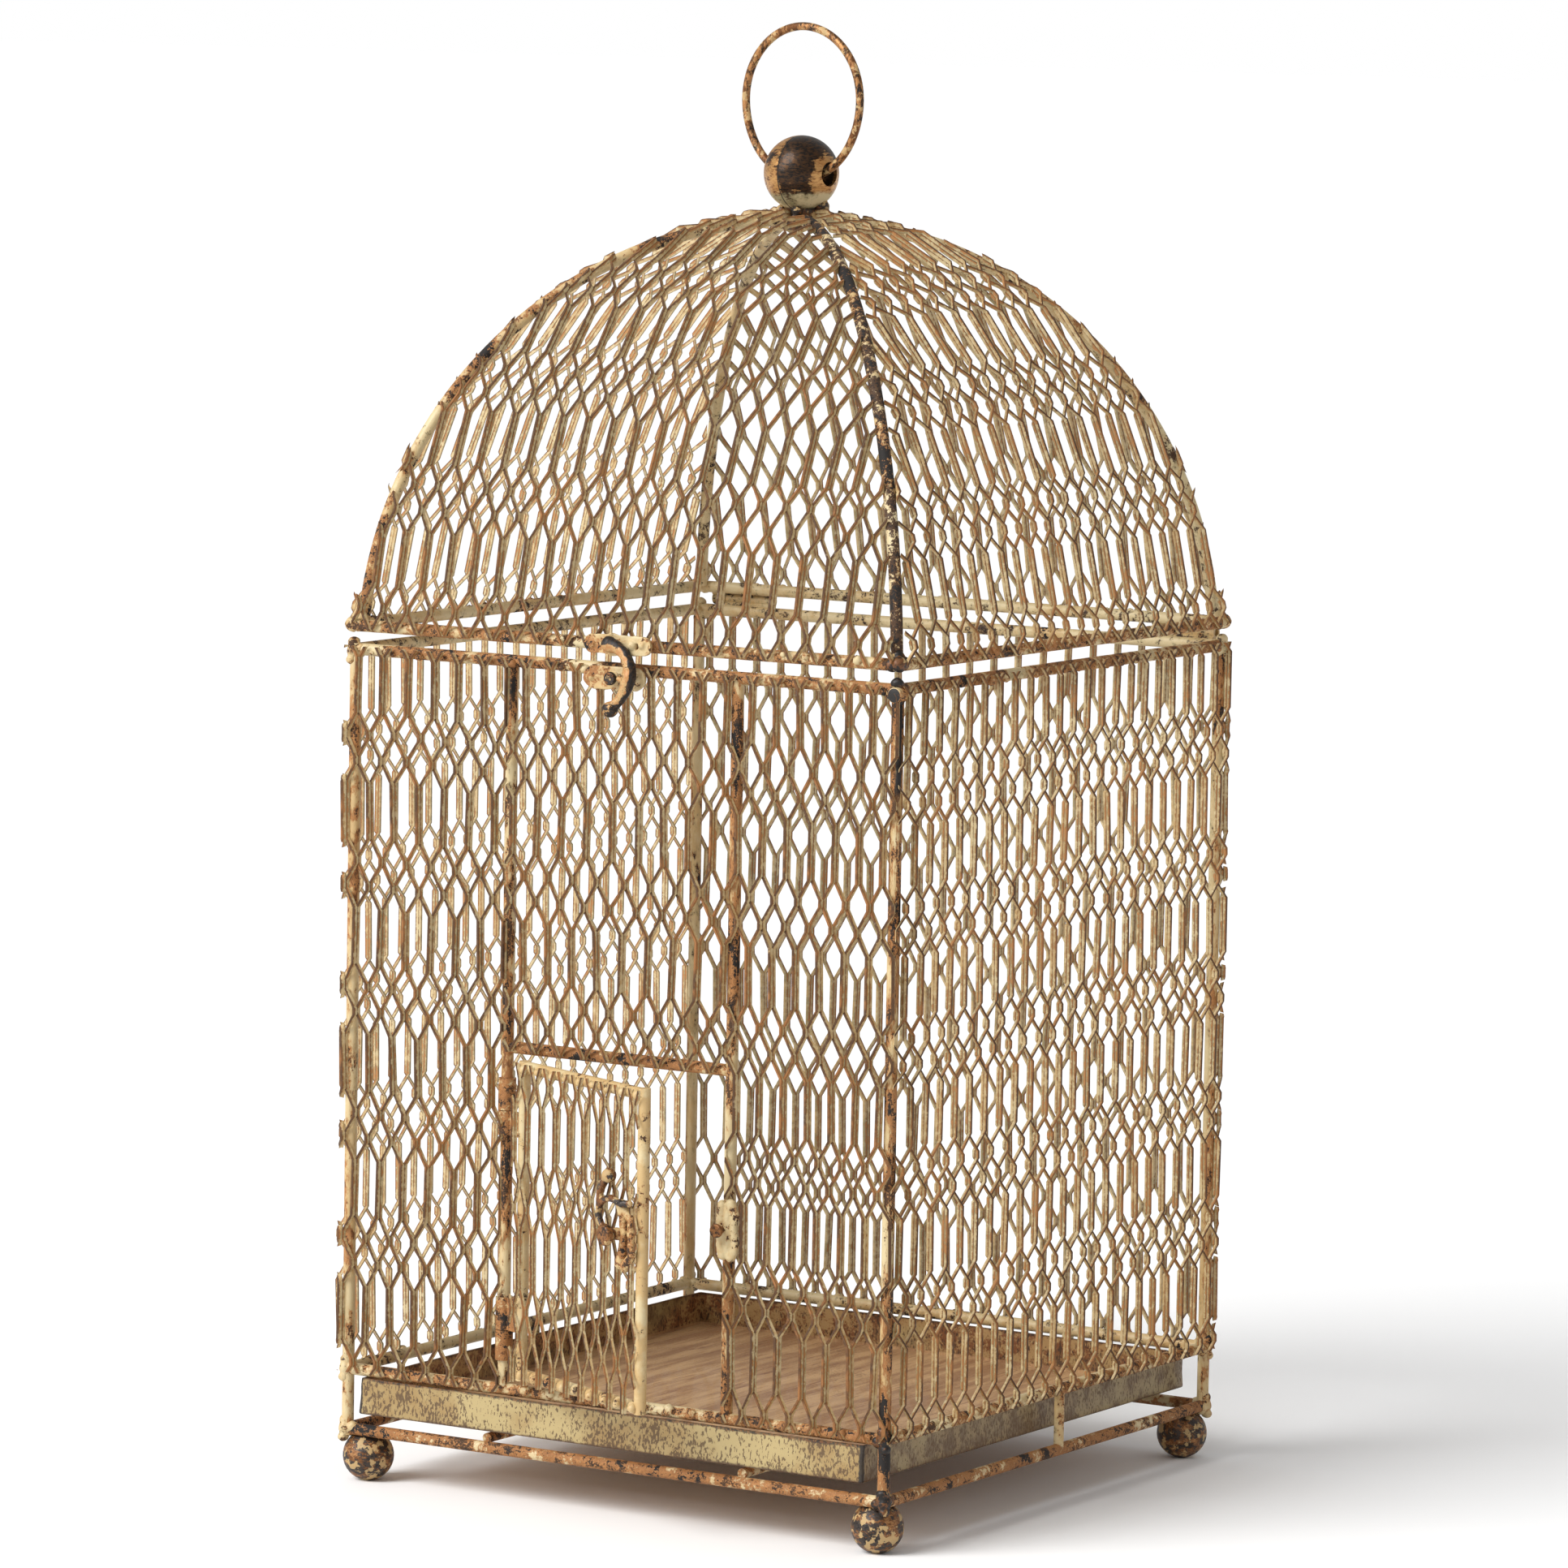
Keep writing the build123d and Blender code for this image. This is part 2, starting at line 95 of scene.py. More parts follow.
class Wire:                                     # one socket, used like a number
    def __init__(self, tree, socket):
        self.tree, self.socket = tree, socket

    def node(self, kind, settings=None, inputs=None, out=0):
        made = self.tree.nodes.new(kind)
        for key, value in (settings or {}).items():
            setattr(made, key, value)
        for key, value in (inputs or {}).items():
            if isinstance(value, Wire):
                self.tree.links.new(value.socket, made.inputs[key])
            else:
                made.inputs[key].default_value = value
        return Wire(self.tree, made.outputs[out])

    def math(self, operation, a, b):
        return self.node("ShaderNodeMath", {"operation": operation}, {0: a, 1: b})

    def __add__(self, other):
        return self.math("ADD", self, other)

    def __radd__(self, other):
        return self.math("ADD", other, self)

    def __sub__(self, other):
        return self.math("SUBTRACT", self, other)

    def __rsub__(self, other):
        return self.math("SUBTRACT", other, self)

    def __mul__(self, other):
        return self.math("MULTIPLY", self, other)

    def __rmul__(self, other):
        return self.math("MULTIPLY", other, self)

    def __truediv__(self, other):
        return self.math("DIVIDE", self, other)

    def __rtruediv__(self, other):
        return self.math("DIVIDE", other, self)

    def step(self, low, high):                  # 0 below low, 1 above high, smooth between
        return self.node("ShaderNodeMapRange", {"interpolation_type": "SMOOTHSTEP"},
                         {"Value": self, "From Min": low, "From Max": high})


def hue(red, green, blue):                      # screen colour to linear
    return tuple(((c / 255 + 0.055) / 1.055) ** 2.4 for c in (red, green, blue))


skin = {                                        # where the outer side of each rod begins
    "rods": (0.1243, 0.1262), "domeRods": (0.1736, 0.1752),
    "domeFoot": (0.3445, 0.3465), "arcZ": 0.3284,
}


class Finish:                                   # a material with its coordinates and noises
    def __init__(self, name):
        self.material = bpy.data.materials.new(name)
        self.material.use_nodes = True
        self.tree = self.material.node_tree
        self.shader = self.tree.nodes["Principled BSDF"]
        start = Wire(self.tree, None)
        self.place = start.node("ShaderNodeTexCoord", out="Object")

    def noise(self, scale, detail=4, rough=0.6, stretch=(1, 1, 1), shift=0):
        spot = self.place.node("ShaderNodeMapping", {},
                               {"Vector": self.place, "Scale": stretch, "Location": (shift, shift, 0)})
        return self.place.node("ShaderNodeTexNoise", {},
                               {"Vector": spot, "Scale": scale, "Detail": detail, "Roughness": rough})

    def axis(self, number):                     # one of the three coordinates
        return self.place.node("ShaderNodeSeparateXYZ", {}, {0: self.place}, out=number)

    def shell(self):                            # 0 on the inner side of a rod, 1 on the side facing out
        x, y, z = self.axis(0), self.axis(1), self.axis(2)
        wide = x.math("MAXIMUM", x.math("ABSOLUTE", x, 0), y.math("ABSOLUTE", y, 0))
        lift = z - skin["arcZ"]
        far = x.math("SQRT", x * x + y * y + lift * lift, 0)
        onDome = z.step(*skin["domeFoot"])
        return wide.step(*skin["rods"]) * (1 - onDome) + far.step(*skin["domeRods"]) * onDome

    def blend(self, mask, under, over):
        under, over = (value if isinstance(value, Wire) else (*value, 1) for value in (under, over))
        return self.place.node("ShaderNodeMix", {"data_type": "RGBA"}, {0: mask, 6: under, 7: over}, out=2)

    def finish(self, colour, rough, metal=0.0, bump=None, bumpDepth=0.0002, coat=0.0):
        for socket, value in (("Base Color", colour), ("Roughness", rough), ("Metallic", metal)):
            if isinstance(value, Wire):
                self.tree.links.new(value.socket, self.shader.inputs[socket])
            else:
                self.shader.inputs[socket].default_value = value
        self.shader.inputs["Coat Weight"].default_value = coat
        if bump:
            relief = {"Strength": 0.7, "Distance": bumpDepth, "Height": bump}
            bumped = bump.node("ShaderNodeBump", {}, relief, out="Normal")
            self.tree.links.new(bumped.socket, self.shader.inputs["Normal"])
        return self.material


tint = {
    "cream": hue(206, 188, 146),
    "creamWarm": hue(194, 162, 110),
    "olive": hue(150, 138, 100),
    "tan": hue(164, 126, 76),
    "rustDark": hue(108, 66, 30),
    "rust": hue(142, 94, 50),
    "rustBright": hue(178, 124, 72),
    "brown": hue(72, 48, 27),
    "black": hue(26, 21, 18),
    "iron": hue(62, 52, 46),
    "copper": hue(172, 122, 74),
    "gold": hue(196, 150, 92),
    "trayCream": hue(174, 154, 106),
    "trayTan": hue(150, 122, 74),
    # darker brown for the tray's outer side walls: painted shade, partly dirt
    "trayFlankShade": hue(98, 72, 40),
    "wallTan": hue(166, 134, 88),
    "wallRust": hue(118, 72, 38),
    "floorTan": hue(156, 116, 80),
    "floorPale": hue(196, 158, 114),
    "floorStreak": hue(124, 78, 50),
    "floorStain": hue(96, 62, 40),
}
cornerStripe = {"corner": (0.2532, 0.2538), "foot": (0.296, 0.306), "top": (0.331, 0.333)}    # stripe on a post


def paintedIron(name, inner=0.1, outer=0.6, dark=0.3, shift=0.0, pale=0.5, stretch=(1, 1, 1),
                streak=False):                  # cream paint, rusting through most on the outer side
    paint = Finish(name)
    broad = paint.noise(30, 5, 0.62, stretch, shift)
    patch = paint.noise(110, 6, 0.7, stretch, shift + 3)
    fine = paint.noise(420, 4, 0.7, stretch, shift + 7)
    grit = paint.noise(1400, 3, 0.6, shift=shift + 9)
    face = paint.shell()
    warm = (broad * 0.6 + patch * 0.4 + face * 0.05).step(0.44, 0.58)
    colour = paint.blend(warm, tint["cream"], tint["creamWarm"])
    faded = (patch * 0.6 + fine * 0.4).step(0.42 + 0.12 * pale, 0.56 + 0.12 * pale)
    colour = paint.blend(faded, colour, tint["olive"])
    worn = broad * 0.3 + patch * 0.45 + fine * 0.25
    rustMask = (worn + inner * 0.16 + face * (0.16 * (outer - inner))).step(0.56, 0.6)
    rustColour = paint.blend((patch * 0.4 + fine * 0.6).step(0.44, 0.56), tint["rust"], tint["rustBright"])
    rustColour = paint.blend((broad * 0.3 + fine * 0.7).step(0.55, 0.62), rustColour, tint["rustDark"])
    colour = paint.blend(rustMask, colour, rustColour)
    spots = patch * 0.5 + grit * 0.2 + fine * 0.3 + dark * 0.12 + face * 0.015
    darkMask = spots.step(0.575, 0.6)
    colour = paint.blend(darkMask, colour, tint["brown"])
    blackMask = (spots + (broad - 0.5) * 0.4).step(0.62, 0.65)
    colour = paint.blend(blackMask, colour, tint["black"])
    if streak:                                   # black stripe down the outer corner, below the top rails
        x, y, z = paint.axis(0), paint.axis(1), paint.axis(2)
        stripeMask = (x - y + fine * 0.0012).step(*cornerStripe["corner"]) * (z + fine * 0.02).step(*cornerStripe["foot"])
        colour = paint.blend(stripeMask * (1 - z.step(*cornerStripe["top"])), colour, tint["black"])
    relief = fine * 0.5 + grit * 0.3 - rustMask * 0.3 - darkMask * 0.3
    return paint.finish(colour, 0.46 + rustMask * 0.28 + darkMask * 0.06, 0.0, relief, 0.0004)


def meshPaint(name, shift=0.0):                 # painted strands, worn to rust and bare iron along one edge
    paint = Finish(name)
    outer = paint.place.node("ShaderNodeAttribute", {"attribute_name": "outer"}, out="Fac")
    broad = paint.noise(24, 4, 0.6, shift=shift)
    patch = paint.noise(120, 5, 0.65, shift=shift + 3)
    fine = paint.noise(520, 4, 0.7, shift=shift + 7)
    colour = paint.blend((fine * 0.6 + broad * 0.4).step(0.38, 0.62), tint["cream"], tint["creamWarm"])
    colour = paint.blend((patch * 0.7 + fine * 0.3).step(0.44, 0.58) * 0.8, colour, tint["olive"])
    tanned = (outer * 0.35 + broad * 0.6 + fine * 0.4).step(0.58, 0.86)
    colour = paint.blend(tanned * 0.75, colour, tint["tan"])
    rustMask = (outer * 0.22 + patch * 0.6 + fine * 0.4).step(0.6, 0.66)
    mottle = (patch * 0.5 + fine * 0.5).step(0.42, 0.6)
    colour = paint.blend(rustMask * 0.9, colour, paint.blend(mottle, tint["rustDark"], tint["rustBright"]))
    bare = (outer + (patch - 0.5) * 0.5 + (fine - 0.5) * 0.4).step(0.8, 0.9)
    bareColour = paint.blend((broad * 0.5 + patch * 0.5).step(0.47, 0.6), tint["brown"], tint["rust"])
    colour = paint.blend(bare * 0.92, colour, bareColour)
    rough = 0.46 + rustMask * 0.25 + bare * 0.1
    return paint.finish(colour, rough, 0.0, fine * 0.7 - rustMask * 0.3, 0.0003)


def bareIron(name, base="iron", glow="rust", amount=0.4, cream=0.3, shift=0.0, shine=0.6,
             stretch=(1, 1, 1)):
    iron = Finish(name)
    patch = iron.noise(150, 5, 0.65, stretch, shift)
    fine = iron.noise(600, 4, 0.7, stretch, shift + 4)
    colour = iron.blend(fine.step(0.42, 0.6), tint[base], tint["black"])
    glowMask = (patch * 0.6 + fine * 0.4 + amount * 0.14).step(0.56, 0.6)
    colour = iron.blend(glowMask, colour, iron.blend(fine.step(0.42, 0.58), tint[glow], tint["rustDark"]))
    # pale patches: worn cream paint; on the ball feet partly painted highlights
    creamAndHighlightMask = (iron.noise(240, 4, 0.6, shift=shift + 8) + cream * 0.1).step(0.6, 0.64)
    colour = iron.blend(creamAndHighlightMask * 0.8, colour, tint["creamWarm"])
    return iron.finish(colour, 0.36 + fine * 0.2 + creamAndHighlightMask * 0.15, shine - creamAndHighlightMask * shine,
                       fine * 0.6 + patch * 0.4, 0.0004)


strapArc = {"x": 0.0019, "z": 0.3306, "squash": 0.85, "back": (0.0102, 0.0109), "knob": (0.3196, 0.3212)}


def strapIron(name):                            # the dome's hook: tan inside its curve, black outside
    strap = Finish(name)
    x, z = strap.axis(0) - strapArc["x"], (strap.axis(2) - strapArc["z"]) * strapArc["squash"]
    patch = strap.noise(260, 5, 0.65, shift=3)
    fine = strap.noise(900, 4, 0.7, shift=6)
    far = x.math("SQRT", x * x + z * z, 0) + (patch - 0.5) * 0.003
    worn = (patch * 0.5 + fine * 0.5).step(0.42, 0.58)
    colour = strap.blend(worn, tint["rustBright"], tint["creamWarm"])
    colour = strap.blend((fine * 0.6 + patch * 0.4).step(0.55, 0.6), colour, tint["rustDark"])
    knob = 1 - strap.axis(2).step(*strapArc["knob"])
    blackTone = strap.blend(fine.step(0.5, 0.62), tint["black"], tint["brown"])
    # black outside the curve and below the knob line
    colour = strap.blend((far.step(*strapArc["back"]) + knob).step(0.1, 0.9), colour, blackTone)
    # gold patches on the knob: painted glint
    colour = strap.blend(knob * patch.step(0.56, 0.62), colour, tint["gold"])
    return strap.finish(colour, 0.4 + fine * 0.15, 0.15, fine * 0.6 + patch * 0.4, 0.0004)


gilt = {"across": (0.9925, 0.1219), "belt": 0.006, "dark": 0.52, "paintTop": (0.5175, 0.5195)}


def finialShell(name):                          # two half balls, gilt worn through, paint left underneath
    ball = Finish(name)
    x, y, z = ball.axis(0), ball.axis(1), ball.axis(2)
    across = x * gilt["across"][0] - y * gilt["across"][1]    # along the ring's axis, 0 at the seam
    patch = ball.noise(120, 5, 0.62, shift=2)
    fine = ball.noise(520, 5, 0.7, (1, 1, 2.6), 5)
    stroke = ball.noise(300, 6, 0.75, (0.6, 0.6, 3.2), 9)
    colour = ball.blend(fine.step(0.42, 0.6), tint["gold"], tint["copper"])
    colour = ball.blend((patch * 0.5 + fine * 0.5).step(0.5, 0.6), colour, tint["rustDark"])
    offBelt = across - gilt["belt"]
    belt = 1 - (offBelt * offBelt).step(0.00001, 0.00006)
    blackMask = (stroke * 0.5 + patch * 0.5 + belt * 0.14 + (z - gilt["dark"]) * 5).step(0.54, 0.6)
    colour = ball.blend(blackMask, colour, ball.blend(fine.step(0.4, 0.6), tint["black"], tint["brown"]))
    under = 1 - (z + patch * 0.007 + fine * 0.003).step(*gilt["paintTop"])
    paintColour = ball.blend(patch.step(0.4, 0.6), tint["cream"], tint["olive"])
    paintColour = ball.blend((fine * 0.7 + patch * 0.3).step(0.56, 0.6), paintColour, tint["brown"])
    colour = ball.blend(under, colour, paintColour)
    seam = 1 - across.math("ABSOLUTE", across, 0).step(0.00012, 0.00032)
    colour = ball.blend(seam, colour, tint["black"])
    rough = 0.3 + fine * 0.16 + under * 0.15
    metal = 0.75 - under * 0.75 - seam * 0.3 * (1 - under)
    return ball.finish(colour, rough, metal, fine * 0.4 + patch * 0.4 - seam * 1.5, 0.0004, coat=0.1)


pan = {                                         # the tray's walls, edges and floor, in metres
    "wall": (0.1164, 0.1168), "front": (-0.1278, -0.1274), "back": (0.1212, 0.1216),
    "floor": (0.0296, 0.0304), "lowEdge": (0.0272, 0.0284), "railShadowEdge": (0.0429, 0.0437),
    "flank": (0.1158, 0.1164), "fold": (0.1162, 0.1168), "foldFront": (0.1272, 0.1280),
}


def trayEnamel(name):                           # speckled enamel outside, stained walls, streaked floor
    tray = Finish(name)
    x, y, z = tray.axis(0), tray.axis(1), tray.axis(2)
    speck = tray.noise(980, 3, 0.6, (1, 1, 0.5))
    cloud = tray.noise(26, 5, 0.62)
    patch = tray.noise(110, 5, 0.65, shift=4)
    fine = tray.noise(900, 3, 0.6, shift=6)
    wideX = x.math("ABSOLUTE", x, 0)
    colour = tray.blend(cloud.step(0.4, 0.62), tint["trayCream"], tint["trayTan"])
    speckMask = (speck + (cloud - 0.5) * 0.3 + (patch - 0.5) * 0.35).step(0.52, 0.57)
    colour = tray.blend(speckMask * 0.8, colour, tint["brown"])
    inside = (1 - wideX.step(*pan["wall"])) * y.step(*pan["front"]) * (1 - y.step(*pan["back"]))
    mottle = (patch * 0.6 + fine * 0.4).step(0.45, 0.55)
    innerWall = tray.blend(mottle, tint["wallTan"], tint["wallRust"])
    innerWall = tray.blend((speck * 0.6 + patch * 0.4).step(0.53, 0.58), innerWall, tint["brown"])
    colour = tray.blend(inside, colour, innerWall)
    lowEdge = 1 - (z - patch * 0.003 + fine * 0.001).step(*pan["lowEdge"])
    colour = tray.blend(lowEdge * 0.9, colour, tint["brown"])
    # dark rust and black along the top edge: painted shadow under the bottom rail
    railShadowEdge = (z + patch * 0.003).step(*pan["railShadowEdge"])
    railShadowColour = tray.blend(fine.step(0.45, 0.55), tint["rustDark"], tint["black"])
    colour = tray.blend(railShadowEdge * 0.85, colour, railShadowColour)
    # darker outer side walls: painted shade, partly dirt
    shadedFlanks = (1 - inside) * wideX.step(*pan["flank"])
    colour = tray.blend(shadedFlanks * (0.35 + 0.5 * patch.step(0.4, 0.6)), colour, tint["trayFlankShade"])
    frayed = fine * 0.0014
    folds = (wideX + frayed).step(*pan["fold"]) * (frayed - y).step(*pan["foldFront"])
    colour = tray.blend(folds * 0.9, colour, tint["black"])
    grain = tray.noise(13, 7, 0.62, (10, 1, 1))
    streak = tray.noise(34, 5, 0.6, (14, 1, 1), 5)
    floorColour = tray.blend(grain.step(0.38, 0.62), tint["floorTan"], tint["floorPale"])
    floorColour = tray.blend(streak.step(0.56, 0.66) * 0.7, floorColour, tint["floorStreak"])
    stain = (fine * 0.5 + cloud * 0.5).step(0.56, 0.66) * 0.6
    floorColour = tray.blend(stain, floorColour, tint["floorStain"])
    floorMask = inside * (1 - z.step(*pan["floor"]))
    colour = tray.blend(floorMask, colour, floorColour)
    rough = 0.42 + speckMask * 0.2 + floorMask * 0.1
    return tray.finish(colour, rough, 0.0, speck * 0.4 + fine * 0.4 + patch * 0.4, 0.0003, coat=0.1)


finishes = {
    "rod": paintedIron("rodPaint", inner=0.05, outer=0.42, dark=0.3),
    "frontRail": paintedIron("frontRailPaint", inner=0.3, outer=0.66, dark=0.36, shift=11),
    "nearPost": paintedIron("nearPostPaint", inner=0.4, outer=0.62, dark=0.4, shift=17,
                            stretch=(1.3, 1.3, 0.35), streak=True),
    "post": paintedIron("postPaint", inner=0.05, outer=0.5, dark=0.14, shift=19, stretch=(1, 1, 0.45)),
    "footRail": paintedIron("footRailPaint", inner=0.7, outer=0.82, dark=0.42, shift=23),
    "rib": paintedIron("ribPaint", inner=0.1, outer=0.5, dark=0.36, shift=25),
    "nearRib": paintedIron("nearRibPaint", inner=0.3, outer=0.65, dark=0.84, shift=29),
    "doorFrame": paintedIron("doorFramePaint", inner=0.0, outer=0.12, dark=0.05, shift=33, pale=0.9),
    "mesh": meshPaint("meshPaint", shift=5),
    # copper and cream patches on the feet: rubbed metal and paint, partly painted highlights
    "ball": bareIron("ballPaint", base="iron", glow="copper", amount=0.45, cream=0.7, shift=31, shine=0.35,
                     stretch=(1, 1, 1.8)),
    "plate": paintedIron("platePaint", inner=0.1, outer=0.42, dark=0.2, shift=37, pale=0.8),
    "hinge": paintedIron("hingePaint", inner=0.8, outer=0.8, dark=0.45, shift=41),
    "barrel": paintedIron("barrelPaint", inner=0.05, outer=0.15, dark=0.3, shift=43, pale=0.2),
    "doorPost": paintedIron("doorPostPaint", inner=0.35, outer=0.6, dark=0.3, shift=57,
                            stretch=(1.2, 1.2, 0.4)),
    "doorIron": bareIron("doorHookIron", glow="rust", amount=0.6, cream=0.9, shift=61, shine=0.3),
    "strap": strapIron("strapIron"),
    # black finish for the tube's bore: painted shade in the hole
    "boreShade": bareIron("boreShade", base="black", glow="black", amount=0, cream=-2, shift=71, shine=0.1),
    "iron": bareIron("hookIron", glow="rust", amount=0.1, cream=0.2, shine=0.45),
    "ring": bareIron("ringIron", base="copper", glow="rustDark", amount=0.3, cream=0.5, shift=13,
                     shine=0.55, stretch=(1, 1, 0.5)),
    "finial": finialShell("finialShell"),
    "solder": bareIron("solder", base="iron", glow="brown", amount=0.4, cream=0.9, shift=51, shine=0.3),
    "weld": bareIron("weldIron", base="black", glow="brown", amount=0.4, cream=0.1, shift=53, shine=0.2),
    "rivet": bareIron("rivetCopper", base="rust", glow="copper", amount=0.5, cream=0.0, shift=27,
                      shine=0.4),
    "tray": trayEnamel("trayEnamel"),
}
print("finishes made")


def coat(piece, *names):
    piece.data.materials.clear()
    for name in names:
        piece.data.materials.append(finishes[name])


nodeFinish = {
    "post": "post", "post_front_right": "nearPost", "foot_rails": "footRail", "bottom_rail": "frontRail",
    "bottom_rail_back": "rod", "bottom_rail_left": "rod", "top_rail_front": "frontRail",
    "top_rail_right": "frontRail", "dome_rail_front": "frontRail", "dome_rail_right": "frontRail",
    "dome_rib": "rib", "dome_rib_front_right": "nearRib", "ball_feet": "ball", "crown": "solder",
    "finial_ball": "finial", "ring": "ring", "tray": "tray", "tray_supports": "footRail",
    "door_post": "doorPost", "door_lintel": "frontRail",
    "door_stile": "doorFrame", "door_rail": "doorFrame",
    "door_hinge": "hinge", "dome_hinge": "barrel", "dome_hook": "iron", "door_hook": "iron",
    "door_latch_rivet": "rivet", "door_catch_pin": "rivet", "dome_latch_rivet": "rivet",
    "dome_catch_stud": "iron", "dome_catch_plate": "plate", "dome_latch_plate": "plate",
    "door_latch_plate": "plate", "door_catch_plate": "plate",
}
for node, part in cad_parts.items():
    starts = [start for start in nodeFinish if node.startswith(start)]
    chosen = nodeFinish[max(starts, key=len)] if starts else "rod"
    part.data.materials.clear()
    part.data.materials.append(finishes[chosen])


mesh = {                                        # upright bonds, joints and slants of one repeat
    "long": 22.4 * mm, "short": 2.7 * mm, "rise": 7.4 * mm,
    "thick": 0.9 * mm, "depth": 3.2 * mm, "tilt": -13,
    "front": {"pitch": 11.6 * mm, "phase": -122.5 * mm},
    "right": {"pitch": 11.3 * mm, "phase": -123.6 * mm},
    "back": {"pitch": 11.55 * mm, "phase": -121.0 * mm},
    "left": {"pitch": 11.4 * mm, "phase": -119.5 * mm},
    "rowStart": 8.0 * mm,                        # foot of the lowest long bond on the first columns
}


def strands(name, pitch, columns, low, high, slim=1.0):
    half = pitch / 2
    quarter = slim * mesh["depth"] / 4
    freeSelection()
    bpy.ops.mesh.primitive_plane_add(size=1, location=(0, 0, low))
    piece = bpy.context.object
    piece.name = name
    piece.data.name = name
    edge = piece.data.attributes.new("outer", "FLOAT", "POINT")    # 1 on a strand's outer edge
    for number, vertex in enumerate(piece.data.vertices):
        edge.data[number].value = 1.0 if vertex.co.y < 0 else 0.0
    bpy.ops.object.mode_set(mode="EDIT")
    bpy.ops.transform.resize(value=(slim * mesh["thick"], 2 * quarter, 1))
    bpy.ops.transform.translate(value=(0, quarter, 0))
    side = 1
    while low < high:                            # one strand, from bond to bond up the sheet
        for length, sideways in ((mesh["long"], 0), (mesh["rise"], 1), (mesh["short"], 0),
                                 (mesh["rise"], 1), (mesh["short"], 0), (mesh["rise"], 1)):
            step = (side * half * sideways, -side * 2 * quarter * sideways, length)
            bpy.ops.mesh.extrude_region_move(TRANSFORM_OT_translate={"value": step})
            if sideways:
                side = -side
            low += length
    bpy.ops.mesh.select_all(action="SELECT")
    bpy.ops.mesh.duplicate()                     # its neighbour is the same strand turned half round
    bpy.ops.transform.rotate(value=pi, orient_axis="Z", center_override=(0, 0, 0))
    bpy.ops.mesh.select_all(action="SELECT")
    bpy.ops.mesh.normals_make_consistent(inside=False)
    bpy.ops.object.mode_set(mode="OBJECT")
    edge = piece.data.attributes["outer"].data
    for number in range(len(edge) // 2, len(edge)):
        edge[number].value = 1 - edge[number].value
    settle(piece)
    coat(piece, "mesh")
    bakeIn(piece, "ARRAY", count=columns, use_relative_offset=False, use_constant_offset=True,
           constant_offset_displace=(pitch, 0, 0))
    return piece


def trim(piece, point, outward):                 # cut away what lies past a plane
    pick(piece)
    bpy.ops.object.mode_set(mode="EDIT")
    bpy.ops.mesh.select_all(action="SELECT")
    bpy.ops.mesh.bisect(plane_co=point, plane_no=outward, use_fill=True, clear_outer=True)
    bpy.ops.object.mode_set(mode="OBJECT")


def wander(piece, amount, seed):                 # hand-stretched sheets are never quite regular
    for vertex in piece.data.vertices:
        spot = Vector((vertex.co.x * 22 + seed, 0, vertex.co.z * 16))
        fine = Vector((vertex.co.x * 75 + seed, 3, vertex.co.z * 45))
        vertex.co.x += amount * (noise.noise(spot) + 0.5 * noise.noise(fine))
        vertex.co.z += 0.7 * amount * (noise.noise(spot + Vector((9, 0, 5))) + 0.4 * noise.noise(fine.yzx))
        vertex.co.y += 0.35 * amount * noise.noise(spot + Vector((0, 7, 2)))


def tiltBonds(piece):                            # every bond stands a little askew in its column
    lean = radians(mesh["tilt"])
    for vertex in piece.data.vertices:
        vertex.co.x -= vertex.co.y * sin(lean)


rodR = 2.4 * mm
postAt = middle("post_front_right").x
bendR = rodR + mesh["depth"] / 2 + 0.05 * mm


def wrapSide(piece, degrees):                    # flat sheet to its side, bent round the corner posts
    for vertex in piece.data.vertices:
        along, depth, z = vertex.co
        out = bendR - depth
        past = abs(along) - postAt
        if past > 0:
            angle = past / bendR
            sign = 1 if along > 0 else -1
            spot = (sign * (postAt + out * sin(angle)), -postAt - out * cos(angle), z)
        else:
            spot = (along, -postAt - out, z)
        vertex.co = turn(spot, degrees)
    piece.data.update()


corner = postAt + bendR * pi / 4                 # half-way round a post


def sidePanel(name, side, left, right, low, high, nodes, seed, spec=None):
    spec = spec or mesh[side]
    start = mesh["rowStart"]
    first = spec["phase"] - spec["pitch"]
    columns = int((right - first) / spec["pitch"]) + 3
    piece = strands(name, spec["pitch"], columns, start, high + 60 * mm)
    for vertex in piece.data.vertices:
        vertex.co.x += first
    tiltBonds(piece)
    wander(piece, 1.3 * mm, seed)
    trim(piece, (left, 0, 0), (-1, 0, 0))
    trim(piece, (right, 0, 0), (1, 0, 0))
    trim(piece, (0, 0, low), (0, 0, -1))
    trim(piece, (0, 0, high), (0, 0, 1))
    wrapSide(piece, sideTurn[side])
    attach(piece, "cage")
    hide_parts(*nodes)


sheetLow, sheetHigh = 44.4 * mm, 334.2 * mm
doorLeft = middle("door_post_left").x
doorRight = middle("door_post_right").x
lintelAt = middle("door_lintel").z
sidePanel("front_mesh_left", "front", -corner, doorLeft + 0.6 * mm, sheetLow, sheetHigh,
          ["mesh_front_left"], 1, {"pitch": 11.8 * mm, "phase": -120.4 * mm})
sidePanel("front_mesh_over_door", "front", doorLeft + 0.6 * mm, doorRight, lintelAt - 1.2 * mm, sheetHigh,
          ["mesh_over_door"], 1)
sidePanel("front_mesh_right", "front", doorRight, corner, sheetLow, sheetHigh,
          ["mesh_front_right"], 1, {"pitch": 10.75 * mm, "phase": -119.7 * mm})
sidePanel("right_mesh", "right", -corner, corner, sheetLow, sheetHigh, ["mesh_right"], 21)
sidePanel("back_mesh", "back", -corner, corner, sheetLow, sheetHigh, ["mesh_back"], 42)
sidePanel("left_mesh", "left", -corner, corner, sheetLow, sheetHigh, ["mesh_left"], 63)
print("side meshes made")


